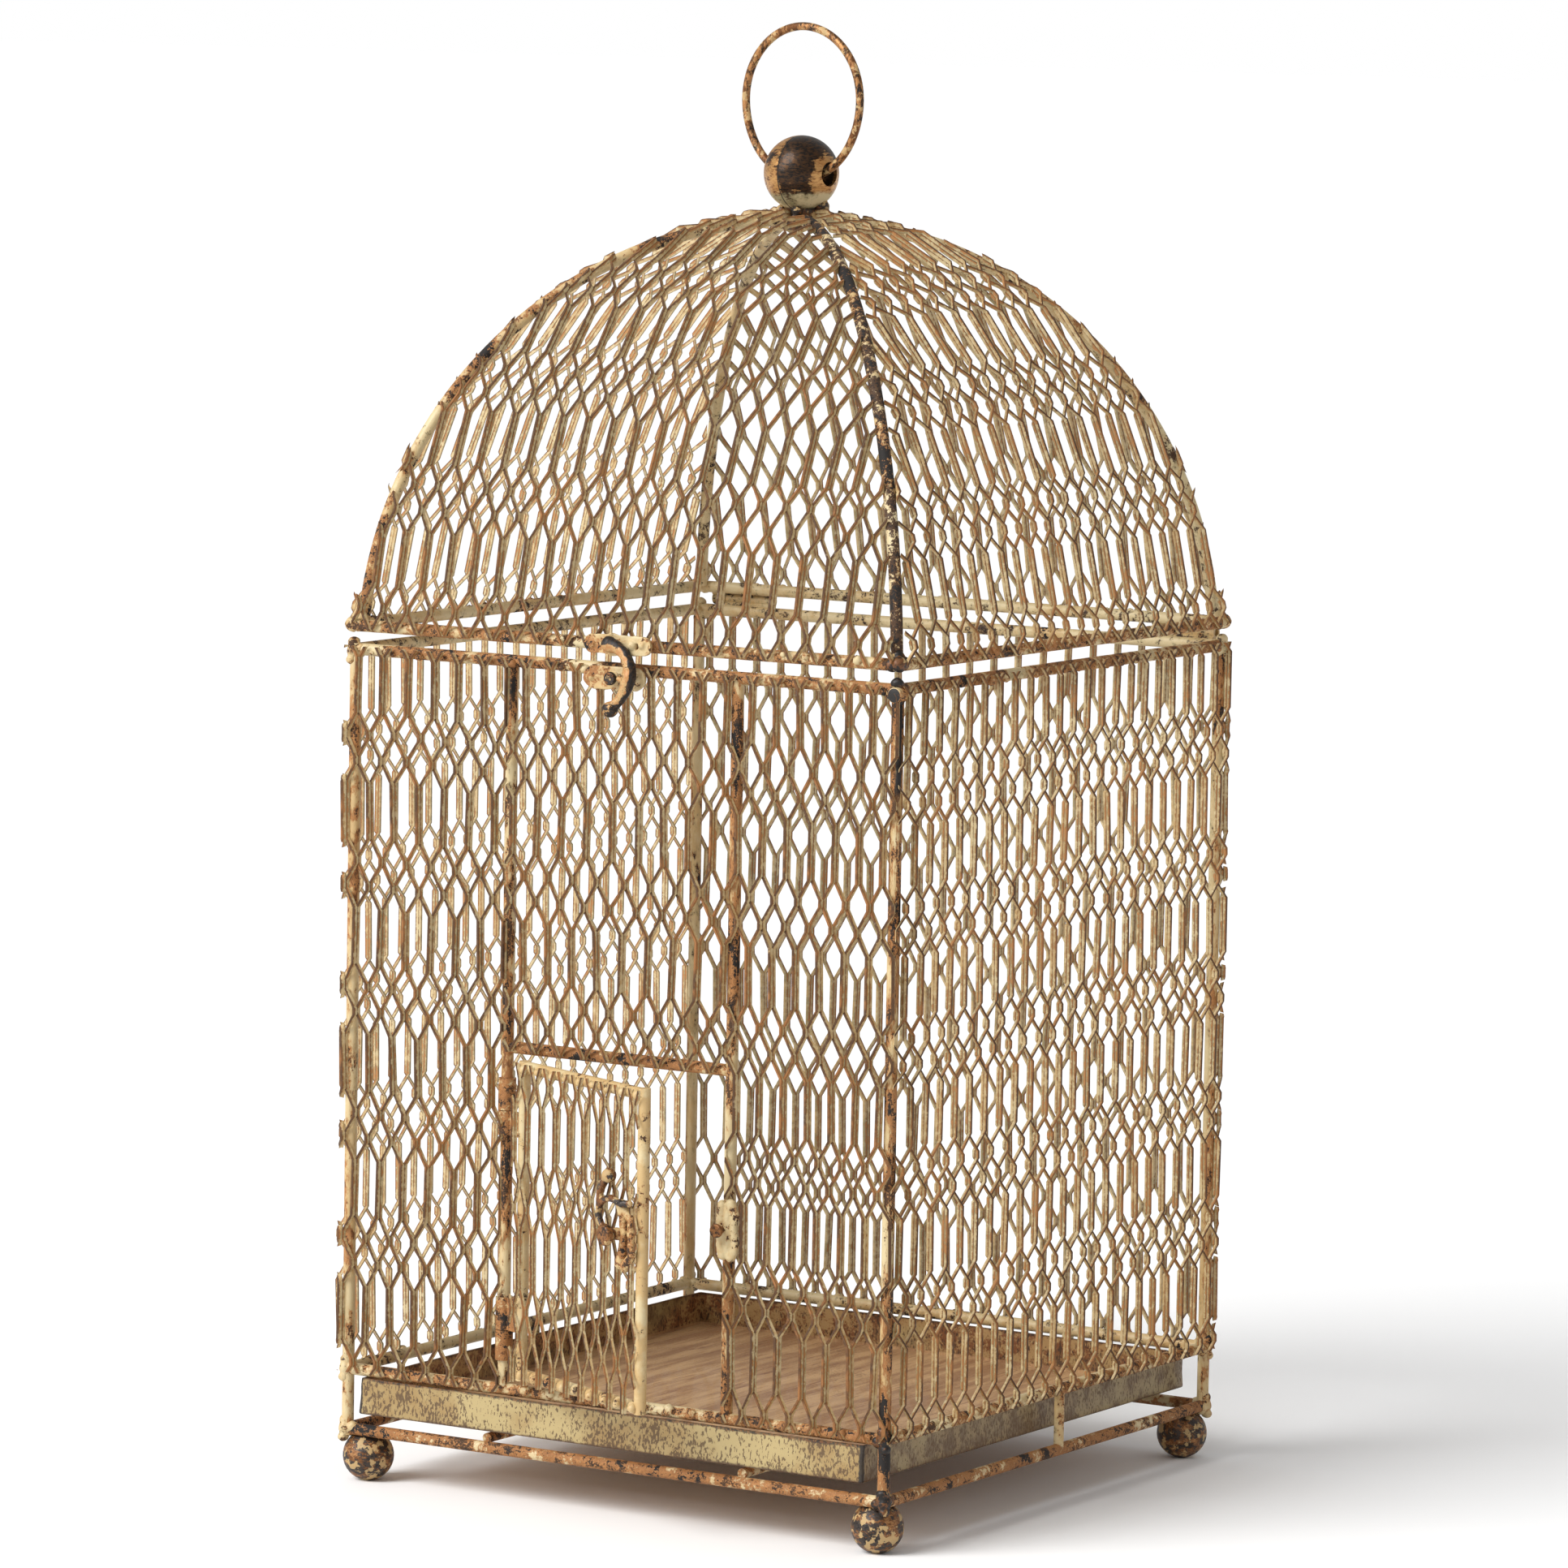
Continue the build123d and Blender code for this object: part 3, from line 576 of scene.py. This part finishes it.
dome = {
    "arcR": 174.5 * mm, "arcZ": 328.4 * mm, "over": 3.95 * mm, "railOut": 3.1 * mm,
    "pitch": 11.5 * mm, "columns": 24, "rowStart": 7.6 * mm,
    "sink": 2.3 * mm, "sinkRun": 12 * mm,        # the gores' edges sink onto the ribs
    "seam": 3.2 * mm, "reach": 124.6 * mm,       # cut off beside the ribs, short of the rails' ends
}


def profile(angle):                              # the gore's middle line: distance out and height
    out = dome["arcR"] * cos(angle) / sqrt(2)
    rise = dome["arcR"] * sin(angle)
    normal = Vector((2 * out, rise)).normalized()
    height = dome["arcZ"] + rise
    low = min(max((height - 0.343) / 0.024, 0), 1)
    over = dome["over"] + dome["railOut"] * (1 - low * low * (3 - 2 * low))
    return Vector((out + over * normal.x, height + over * normal.y))


profileSteps = 240
profilePoints = [profile(radians(3.9 + 83.1 * step / profileSteps)) for step in range(profileSteps + 1)]
profileLengths = [0.0]
for before, after in zip(profilePoints, profilePoints[1:]):
    profileLengths.append(profileLengths[-1] + (after - before).length)


def alongProfile(distance):                      # point and outward direction at a distance up the gore
    for step in range(profileSteps):
        if profileLengths[step + 1] >= distance or step == profileSteps - 1:
            before, after = profilePoints[step], profilePoints[step + 1]
            share = (distance - profileLengths[step]) / (after - before).length
            run = (after - before).normalized()
            return before.lerp(after, share), Vector((run.y, -run.x))


def gorePiece(side, seed):
    pitch = dome["pitch"]
    first = -11.5 * pitch
    start = dome["rowStart"] - mesh["rise"] * 2 - mesh["short"] - mesh["long"]
    piece = strands(f"{side}_gore_mesh", pitch, dome["columns"], start, profileLengths[-1] + 10 * mm)
    for vertex in piece.data.vertices:
        vertex.co.x += first
    tiltBonds(piece)
    wander(piece, 1.2 * mm, seed)
    trim(piece, (0, 0, 0), (0, 0, -1))
    trim(piece, (0, 0, profileLengths[-1]), (0, 0, 1))
    for vertex in piece.data.vertices:
        along, depth, height = vertex.co
        spot, outward = alongProfile(height)
        place = spot - outward * depth
        vertex.co = (along, -place.x, place.y)
        near = min(max(1 - (place.x - abs(along)) / dome["sinkRun"], 0), 1.2)
        vertex.co += Vector((0, outward.x, -outward.y)) * (dome["sink"] * near)
    piece.data.update()
    trim(piece, (0, -dome["seam"], 0), (1, 1, 0))
    trim(piece, (0, -dome["seam"], 0), (-1, 1, 0))
    trim(piece, (dome["reach"], 0, 0), (1, 0, 0))
    trim(piece, (-dome["reach"], 0, 0), (-1, 0, 0))
    for vertex in piece.data.vertices:
        vertex.co = turn(vertex.co, sideTurn[side])
    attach(piece, "dome")
    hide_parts(f"gore_{side}")


for number, side in enumerate(sideTurn):
    gorePiece(side, 100 + 17 * number)
print("dome meshes made")


door = {"turn": -22.5, "left": 9.6 * mm, "right": 97.6 * mm, "low": 50.2 * mm, "high": 176.6 * mm,
        "pitch": 9.7 * mm, "columns": 14, "phase": 11.4 * mm, "slim": 0.72,
        "rowStart": 38.0 * mm}                   # foot of the lowest long bond


def doorSheet():
    piece = strands("door_sheet", door["pitch"], door["columns"], door["rowStart"],
                    door["high"] + 40 * mm, door["slim"])
    for vertex in piece.data.vertices:
        vertex.co.x += door["phase"] - door["pitch"]
    tiltBonds(piece)
    wander(piece, 1.0 * mm, 7)
    trim(piece, (door["left"], 0, 0), (-1, 0, 0))
    trim(piece, (door["right"], 0, 0), (1, 0, 0))
    trim(piece, (0, 0, door["low"]), (0, 0, -1))
    trim(piece, (0, 0, door["high"]), (0, 0, 1))
    hinge = Vector((doorLeft, -postAt, 0))
    for vertex in piece.data.vertices:
        along, depth, z = vertex.co
        vertex.co = hinge + turn((along, depth - bendR, z), door["turn"])
    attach(piece, "door")
    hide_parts("door_mesh")


doorSheet()
print("door mesh made")


def beadChain(points, gap=0.9 * mm):             # closely spaced beads along a path of (place, radius)
    beads = []
    for (start, startR), (end, endR) in zip(points, points[1:]):
        start, end = Vector(start), Vector(end)
        count = max(int((end - start).length / gap), 1)
        for number in range(count):
            share = number / count
            beads.append((start.lerp(end, share), startR + (endR - startR) * share))
    return beads + [(Vector(points[-1][0]), points[-1][1])]


def addBeads(beads):
    for place, radius in beads:
        bpy.ops.mesh.primitive_uv_sphere_add(segments=12, ring_count=8, radius=radius, location=place)


def knead(piece, voxel, rounds, rough):          # melt beads together, soften them, leave hammer marks
    bakeIn(piece, "REMESH", mode="VOXEL", voxel_size=voxel)
    bakeIn(piece, "SMOOTH", factor=0.5, iterations=rounds)
    shifts = []
    for vertex in piece.data.vertices:
        spot = vertex.co * 260
        shifts.append(vertex.normal * rough * (noise.noise(spot) + 0.5 * noise.noise(spot * 2.3)))
    for vertex, shift in zip(piece.data.vertices, shifts):
        vertex.co += shift
    pick(piece)
    bpy.ops.object.shade_smooth()


def forged(name, beads, body, finish, nodes=(), voxel=0.35 * mm, rounds=3, rough=0.25 * mm):
    freeSelection()
    first, firstR = beads[0]
    bpy.ops.mesh.primitive_uv_sphere_add(segments=12, ring_count=8, radius=firstR, location=first)
    piece = bpy.context.object
    piece.name = name
    piece.data.name = name
    bpy.ops.object.mode_set(mode="EDIT")
    addBeads(beads[1:])
    bpy.ops.object.mode_set(mode="OBJECT")
    settle(piece)
    knead(piece, voxel, rounds, rough)
    coat(piece, finish)
    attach(piece, body)
    if nodes:
        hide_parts(*nodes)
    return piece


def softened(name, node, beads, body):           # a flat CAD plate, cast over with bosses and worn edges
    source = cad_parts[node]
    piece = bpy.data.objects.new(name, source.data.copy())
    piece.data.name = name
    piece.matrix_world = source.matrix_world.copy()
    bpy.context.collection.objects.link(piece)
    settle(piece)
    bpy.ops.object.mode_set(mode="EDIT")
    bpy.ops.mesh.select_all(action="SELECT")
    bpy.ops.mesh.remove_doubles(threshold=0.00001)
    addBeads(beads)
    bpy.ops.object.mode_set(mode="OBJECT")
    knead(piece, 0.3 * mm, 3, 0.35 * mm)
    coat(piece, "plate")
    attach(piece, body)
    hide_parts(node)


def doorSpot(s, z, out):                         # along the door from its hinge, height, out
    return Vector((doorLeft, -postAt, z)) + turn((s, -out, 0), door["turn"])


def inMillimetres(rows):                         # beads given as x, y, z and radius
    return [(Vector((x * mm, y * mm, z * mm)), radius * mm) for x, y, z, radius in rows]


def fromRivet(rows):                             # from the dome latch's rivet: x, height, y and radius
    return [(Vector((0.9 * mm + x * mm, y * mm, 342.6 * mm + z * mm)), radius * mm)
            for x, z, y, radius in rows]


domeHook = {
    "strap": [(-0.4, 0.2, -134.7, 3.3), (3.2, -0.6, -134.9, 2.5), (7.4, -3.2, -135.3, 2.3),
              (10.0, -7.2, -136.0, 2.5), (10.4, -11.6, -136.8, 2.9), (9.6, -16.2, -137.6, 2.6),
              (7.4, -20.4, -138.4, 2.1), (4.6, -23.4, -139.0, 2.2)],
    "knob": [(3.6, -24.4, -139.3, 3.3)],
    "claw": [(8.4, -13.6, -137.0, 1.7), (5.6, -12.6, -137.0, 1.0)],
}
domeHookBeads = beadChain(fromRivet(domeHook["strap"])) + fromRivet(domeHook["knob"])
domeHookBeads += beadChain(fromRivet(domeHook["claw"]))
forged("dome_latch_hook", domeHookBeads, "dome_hook", "strap", ["dome_hook"])


doorHook = {
    "rivetS": 85 * mm, "rivetZ": 119.7 * mm, "out": 8.1, "curlWide": 8.4, "curlHigh": 6.6, "curlZ": 7.4,
    "wire": 1.4 * mm, "tip": [(6.4, 12.6, 7.6), (9.4, 12.8, 5.8)],
    "neck": [(-7.6, 10.6, 1.5), (-7.6, 15.0, 1.6), (-6.2, 18.6, 1.7), (-3.4, 21.6, 1.9)],
}


def doorHookSpot(s, z, out=doorHook["out"]):
    return doorSpot(doorHook["rivetS"] + s * mm, doorHook["rivetZ"] + z * mm, out * mm)


curl = [(doorHookSpot(doorHook["curlWide"] * cos(radians(angle)),
                      doorHook["curlZ"] + doorHook["curlHigh"] * sin(radians(angle))), doorHook["wire"])
        for angle in range(-90, -292, -18)]
curl += [(doorHookSpot(*place), doorHook["wire"]) for place in doorHook["tip"]]
neck = [(doorHookSpot(s, z), radius * mm) for s, z, radius in doorHook["neck"]]
doorHookBeads = beadChain(curl) + beadChain(neck)
doorHookBeads += [(doorHookSpot(-1.4, 22.6), 2.9 * mm), (doorHookSpot(0, 0), 2.6 * mm)]
forged("door_latch_hook", doorHookBeads, "door_hook", "doorIron", ["door_hook"])

domeLatch = [(-8.5, -132.4, 342.4, 1.9), (9.5, -132.3, 342.8, 2.1), (14.5, -132.3, 343.2, 1.8),
             (1.0, -132.2, 342.6, 2.6)]
domeCatch = [(-9.8, -131.0, 329.6, 1.8), (10.8, -131.0, 329.4, 1.9), (1.2, -131.0, 329.6, 2.6)]
softened("dome_latch_casting", "dome_latch_plate", inMillimetres(domeLatch), "dome")
softened("dome_catch_casting", "dome_catch_plate", inMillimetres(domeCatch), "cage")

doorCatch = {                                    # bosses of the door's catch: x, height and radius
    "left": [(53.4, 129.6, 2.0), (52.8, 125.0, 1.8), (53.6, 120.0, 2.0), (52.9, 114.6, 1.8),
             (54.2, 110.2, 2.1)],
    "right": [(57.4, 130.2, 2.1), (59.4, 126.4, 1.7), (58.6, 120.4, 1.8), (59.7, 114.4, 1.7),
              (57.8, 109.6, 2.1)],
    "middle": [(56.2, 128.0, 1.6), (56.0, 112.0, 1.6)],
}
doorCatchBeads = []
for column in doorCatch.values():
    doorCatchBeads += beadChain(inMillimetres([(x, -130.4, z, radius) for x, z, radius in column]))
forged("door_catch_casting", doorCatchBeads, "cage", "plate", ["door_catch_plate"],
       voxel=0.3 * mm, rough=0.4 * mm)

doorLatch = {                                    # bosses of its latch: along, height, out and radius
    "left": [(87.6, 131.0, 4.7, 2.3), (88.6, 126.0, 4.6, 1.9), (89.8, 121.0, 4.7, 1.8),
             (88.4, 114.0, 4.6, 1.9), (87.4, 108.6, 4.8, 2.4)],
    "right": [(90.6, 129.4, 4.6, 2.1), (93.4, 126.0, 4.4, 1.7), (94.4, 113.0, 4.4, 1.7),
              (90.6, 107.4, 4.7, 2.0)],
    "lug": [(85, 119.7, 4.9, 2.5), (89, 119.7, 4.7, 1.9)],
}
doorLatchBeads = []
for column in doorLatch.values():
    doorLatchBeads += beadChain([(doorSpot(s * mm, z * mm, out * mm), radius * mm)
                                 for s, z, out, radius in column])
forged("door_latch_casting", doorLatchBeads, "door", "plate", ["door_latch_plate"],
       voxel=0.3 * mm, rough=0.35 * mm)
print("hooks and plates made")


def spread(piece, names):                        # a copy of its own for every further place
    for name, degrees, rise, body in names:
        copy = bpy.data.objects.new(name, piece.data.copy())
        copy.data.name = name
        bpy.context.collection.objects.link(copy)
        for vertex in copy.data.vertices:
            vertex.co = turn(vertex.co, degrees) + Vector((0, 0, rise))
        copy.data.update()
        if "back" in name or name.endswith("left"):
            coat(copy, "rod")
        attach(copy, body)


weldBeads = inMillimetres([(125.4, -125.6, 45.2, 3.2), (122.4, -125.4, 44.4, 2.7),
                           (125.3, -122.3, 45.8, 2.75), (125.2, -125.9, 48.4, 2.6),
                           (126.4, -126.3, 42.0, 2.2)])
weld = forged("weld_bottom_front_right", weldBeads, "cage", "weld", voxel=0.45 * mm, rough=0.5 * mm)
levels = {"bottom": (0, "cage"), "foot": (-24.2 * mm, "cage"), "top": (286.6 * mm, "cage")}
corners = {"front_right": 0, "back_right": 90, "back_left": 180, "front_left": 270}
spread(weld, [(f"weld_{level}_{place}", degrees, rise, body) for level, (rise, body) in levels.items()
              for place, degrees in corners.items() if (level, degrees) != ("bottom", 0)])

ribBeads = inMillimetres([(126.0, -126.2, 342.4, 3.1), (123.8, -124.0, 345.0, 2.9),
                          (122.8, -126.2, 342.0, 2.7), (126.2, -122.9, 342.3, 2.7)])
ribWeld = forged("weld_rib_front_right", ribBeads, "dome", "weld", voxel=0.45 * mm, rough=0.5 * mm)
spread(ribWeld, [(f"weld_rib_{place}", degrees, 0, "dome")
                 for place, degrees in corners.items() if degrees])

solderPitch = 11.2 * mm
solderRows = {
    "bottom": {"height": 46.2 * mm, "phase": -117 * mm, "count": 22, "body": "cage", "out": 127.3 * mm},
    "top": {"height": 331.8 * mm, "phase": -116 * mm, "count": 22, "body": "cage", "out": 127.3 * mm},
    "dome": {"height": 343.2 * mm, "phase": -115 * mm, "count": 21, "body": "dome", "out": 128.6 * mm},
}


def solderRow(level, side):                      # lumps where the sheet is soldered to a rail
    row = solderRows[level]
    freeSelection()
    bpy.ops.mesh.primitive_ico_sphere_add(subdivisions=2, radius=2.0 * mm, location=(0, 0, 0))
    piece = bpy.context.object
    piece.name = f"solder_{level}_{side}"
    piece.data.name = piece.name
    piece.scale = (0.9, 0.75, 0.8)
    settle(piece)
    bakeIn(piece, "ARRAY", count=row["count"], use_relative_offset=False, use_constant_offset=True,
           constant_offset_displace=(solderPitch, 0, 0))
    for vertex in piece.data.vertices:
        index = round(vertex.co.x / solderPitch)
        lumpX = index * solderPitch
        size = 0.8 + 0.9 * noise.noise(Vector((index * 0.73, sideTurn[side], row["height"] * 900)))
        local = (vertex.co - Vector((lumpX, 0, 0))) * max(size, 0.35)
        local *= 1 + 0.35 * noise.noise(local * 700 + Vector((index, 0, 0)))
        along = lumpX + row["phase"] + 2.5 * mm * noise.noise(Vector((index * 1.7, 4, 0)))
        vertex.co = turn(Vector((along, -row["out"], row["height"])) + local, sideTurn[side])
    piece.data.update()
    pick(piece)
    bpy.ops.object.shade_smooth()
    coat(piece, "frontRail" if side in ("front", "right") else "rod")
    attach(piece, row["body"])


for side in sideTurn:
    for level in solderRows:
        solderRow(level, side)


def doorSolder(name, z):
    beads = [doorSpot((16 + 9.7 * number) * mm, z, 2.6 * mm) for number in range(9)]
    freeSelection()
    bpy.ops.mesh.primitive_ico_sphere_add(subdivisions=2, radius=1.9 * mm, location=beads[0])
    piece = bpy.context.object
    piece.name = name
    piece.data.name = name
    bpy.ops.object.mode_set(mode="EDIT")
    for place in beads[1:]:
        bpy.ops.mesh.primitive_ico_sphere_add(subdivisions=2, radius=1.9 * mm, location=place)
    bpy.ops.object.mode_set(mode="OBJECT")
    settle(piece)
    for vertex in piece.data.vertices:
        vertex.co += vertex.normal * 0.8 * mm * noise.noise(vertex.co * 300)
    piece.data.update()
    pick(piece)
    bpy.ops.object.shade_smooth()
    coat(piece, "doorFrame")
    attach(piece, "door")


doorSolder("solder_door_bottom", 53.2 * mm)
doorSolder("solder_door_top", 174.2 * mm)

solderBeads = inMillimetres([(2.6, -7.4, 506.4, 2.3), (2.4, -8.2, 503.4, 1.7), (8.2, 2.6, 508.2, 3.2),
                             (7.4, 4.6, 505.0, 2.8), (-7.4, -2.4, 506.0, 2.8), (-4.6, 6.6, 506.2, 2.9),
                             (-7.0, -5.6, 504.0, 2.1), (0, 0, 505.0, 6.4)])
forged("crown_solder", solderBeads, "dome", "solder", voxel=0.45 * mm, rough=0.5 * mm)


tube = {"radius": 3.0 * mm, "length": 6 * mm, "wall": 1.0 * mm, "bore": 3 * mm, "boreShadeR": 2.05 * mm,
        "place": (126.2 * mm, -127.0 * mm, 330.9 * mm)}


def tubeEnd():                                   # short cut-off tube welded to the near post
    freeSelection()
    bpy.ops.mesh.primitive_cylinder_add(vertices=28, radius=tube["radius"], depth=tube["length"],
                                        location=(0, 0, 0))
    piece = bpy.context.object
    piece.name = "post_tube_end"
    piece.data.name = "post_tube_end"
    coat(piece, "plate", "boreShade")
    pickFaces(piece, (0, 0, 1))
    bpy.ops.mesh.inset(thickness=tube["wall"])
    bpy.ops.mesh.extrude_region_move(TRANSFORM_OT_translate={"value": (0, 0, -tube["bore"])})
    bpy.ops.mesh.select_all(action="SELECT")
    bpy.ops.transform.rotate(value=pi / 2, orient_axis="X", center_override=(0, 0, 0))
    bpy.ops.transform.translate(value=tube["place"])
    bpy.ops.object.mode_set(mode="OBJECT")
    settle(piece)
    bakeIn(piece, "BEVEL", width=0.3 * mm, segments=2)
    tubeX, _, tubeZ = tube["place"]
    # faces inside the bore get the black finish: painted shade in the hole
    for face in piece.data.polygons:
        near = Vector((face.center.x - tubeX, face.center.z - tubeZ)).length
        face.material_index = 1 if near < tube["boreShadeR"] else 0
    pick(piece)
    bpy.ops.object.shade_smooth_by_angle(angle=radians(35))
    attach(piece, "cage")


tubeEnd()
print("welds made")


sheet = {
    "bend": 0.9 * mm, "thick": 1.0 * mm, "lift": 1.0 * mm, "floor": 28.5 * mm, "foot": 8 * mm,
    "sideX": 116 * mm, "frontY": -127 * mm, "backY": 121 * mm, "lean": 0.25 * mm,
    "cuts": 39, "heights": (30.5, 33, 35.5, 38, 40.4),
}


def scoreSheet(piece, place, across):            # a line across the sheet, so that it can be dented
    pick(piece)
    bpy.ops.object.mode_set(mode="EDIT")
    bpy.ops.mesh.select_all(action="SELECT")
    bpy.ops.mesh.bisect(plane_co=place, plane_no=across)
    bpy.ops.object.mode_set(mode="OBJECT")


def foldedTray():
    low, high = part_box("tray")
    size = Vector(high) - Vector(low)
    top = high[2]
    freeSelection()
    bpy.ops.mesh.primitive_cube_add(size=1, location=(Vector(low) + Vector(high)) / 2)
    piece = bpy.context.object
    piece.name = "folded_tray"
    piece.data.name = "folded_tray"
    piece.scale = size
    settle(piece)
    pickFaces(piece, (0, 0, 1))
    bpy.ops.mesh.delete(type="FACE")
    bpy.ops.mesh.select_all(action="SELECT")
    bpy.ops.mesh.bevel(offset=sheet["bend"], segments=3, affect="EDGES")
    bpy.ops.object.mode_set(mode="OBJECT")
    bakeIn(piece, "SOLIDIFY", thickness=sheet["thick"], offset=-1)
    for number in range(sheet["cuts"]):
        place = number * 6 * mm - 114 * mm
        scoreSheet(piece, (place, place, 0), (1, 0, 0))
        scoreSheet(piece, (place, place, 0), (0, 1, 0))
    for height in sheet["heights"]:
        scoreSheet(piece, (0, 0, height * mm), (0, 0, 1))
    for vertex in piece.data.vertices:
        spot = Vector((vertex.co.x * 30, vertex.co.y * 30, vertex.co.z * 60))
        share = min(max((vertex.co.z - sheet["floor"]) / sheet["foot"], 0), 1)
        dent = 0.8 * mm * share * noise.noise(spot) + 0.35 * mm * share * noise.noise(spot * 3)
        inward = sheet["lean"] * share
        if abs(vertex.co.x) > sheet["sideX"]:
            vertex.co.x += dent - inward * (1 if vertex.co.x > 0 else -1)
        if vertex.co.y < sheet["frontY"] or vertex.co.y > sheet["backY"]:
            vertex.co.y += dent - inward * (1 if vertex.co.y > 0 else -1)
        if vertex.co.z > top - 0.2 * mm:
            vertex.co.z += 0.15 * mm * noise.noise(spot * 2) - 0.1 * mm
        vertex.co.z += sheet["lift"]
    piece.data.update()
    pick(piece)
    bpy.ops.object.shade_smooth_by_angle(angle=radians(32))
    coat(piece, "tray")
    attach(piece, "tray")
    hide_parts("tray")


foldedTray()
print("tray made")


def floorAndLight():
    freeSelection()
    bpy.ops.mesh.primitive_plane_add(size=60, location=(0, 0, 0))
    floor = bpy.context.object
    floor.name = "floor"
    ground = Finish("floorPaper")
    floor.data.materials.append(ground.finish((0.98, 0.98, 0.98, 1), 0.8))
    world = bpy.data.worlds.new("studio")
    world.use_nodes = True
    bpy.context.scene.world = world
    backdrop = world.node_tree.nodes["Background"]
    backdrop.inputs["Color"].default_value = (1, 1, 1, 1)
    seen = Wire(world.node_tree, None).node("ShaderNodeLightPath", out="Is Camera Ray")
    world.node_tree.links.new((seen * 0.5 + 0.5).socket, backdrop.inputs["Strength"])
    bpy.context.scene.view_settings.view_transform = "Standard"
    bpy.ops.object.light_add(type="SUN", rotation=(radians(48), 0, radians(-24)))
    sun = bpy.context.object
    sun.name = "window"
    sun.data.energy = 2.75
    sun.data.angle = radians(34)
    bpy.ops.object.light_add(type="AREA", location=(-1.3, -2.0, 1.2))
    lamp = bpy.context.object
    lamp.name = "key"
    lamp.data.size = 0.9
    lamp.data.energy = 14
    lamp.rotation_euler = (Vector((0, 0, 0.28)) - lamp.location).to_track_quat("-Z", "Y").to_euler()


def addCamera():
    eye = {"place": (1.6545, -2.6494, 0.6153), "azimuth": 32.036, "down": 6.171, "roll": 0.966,
           "lens": 180.39}
    data = bpy.data.cameras.new("camera")
    camera = bpy.data.objects.new("camera", data)
    bpy.context.collection.objects.link(camera)
    azimuth, down, roll = (radians(eye[key]) for key in ("azimuth", "down", "roll"))
    forward = Vector((-sin(azimuth) * cos(down), cos(azimuth) * cos(down), -sin(down)))
    right = Vector((cos(azimuth), sin(azimuth), 0))
    up = right.cross(forward)
    rolledRight = right * cos(roll) + up * sin(roll)
    rolledUp = up * cos(roll) - right * sin(roll)
    camera.matrix_world = Matrix.Translation(eye["place"]) @ Matrix(
        (rolledRight, rolledUp, -forward)).transposed().to_4x4()
    data.sensor_width = 36
    data.lens = eye["lens"]
    data.clip_end = 50
    bpy.context.scene.camera = camera


floorAndLight()
addCamera()
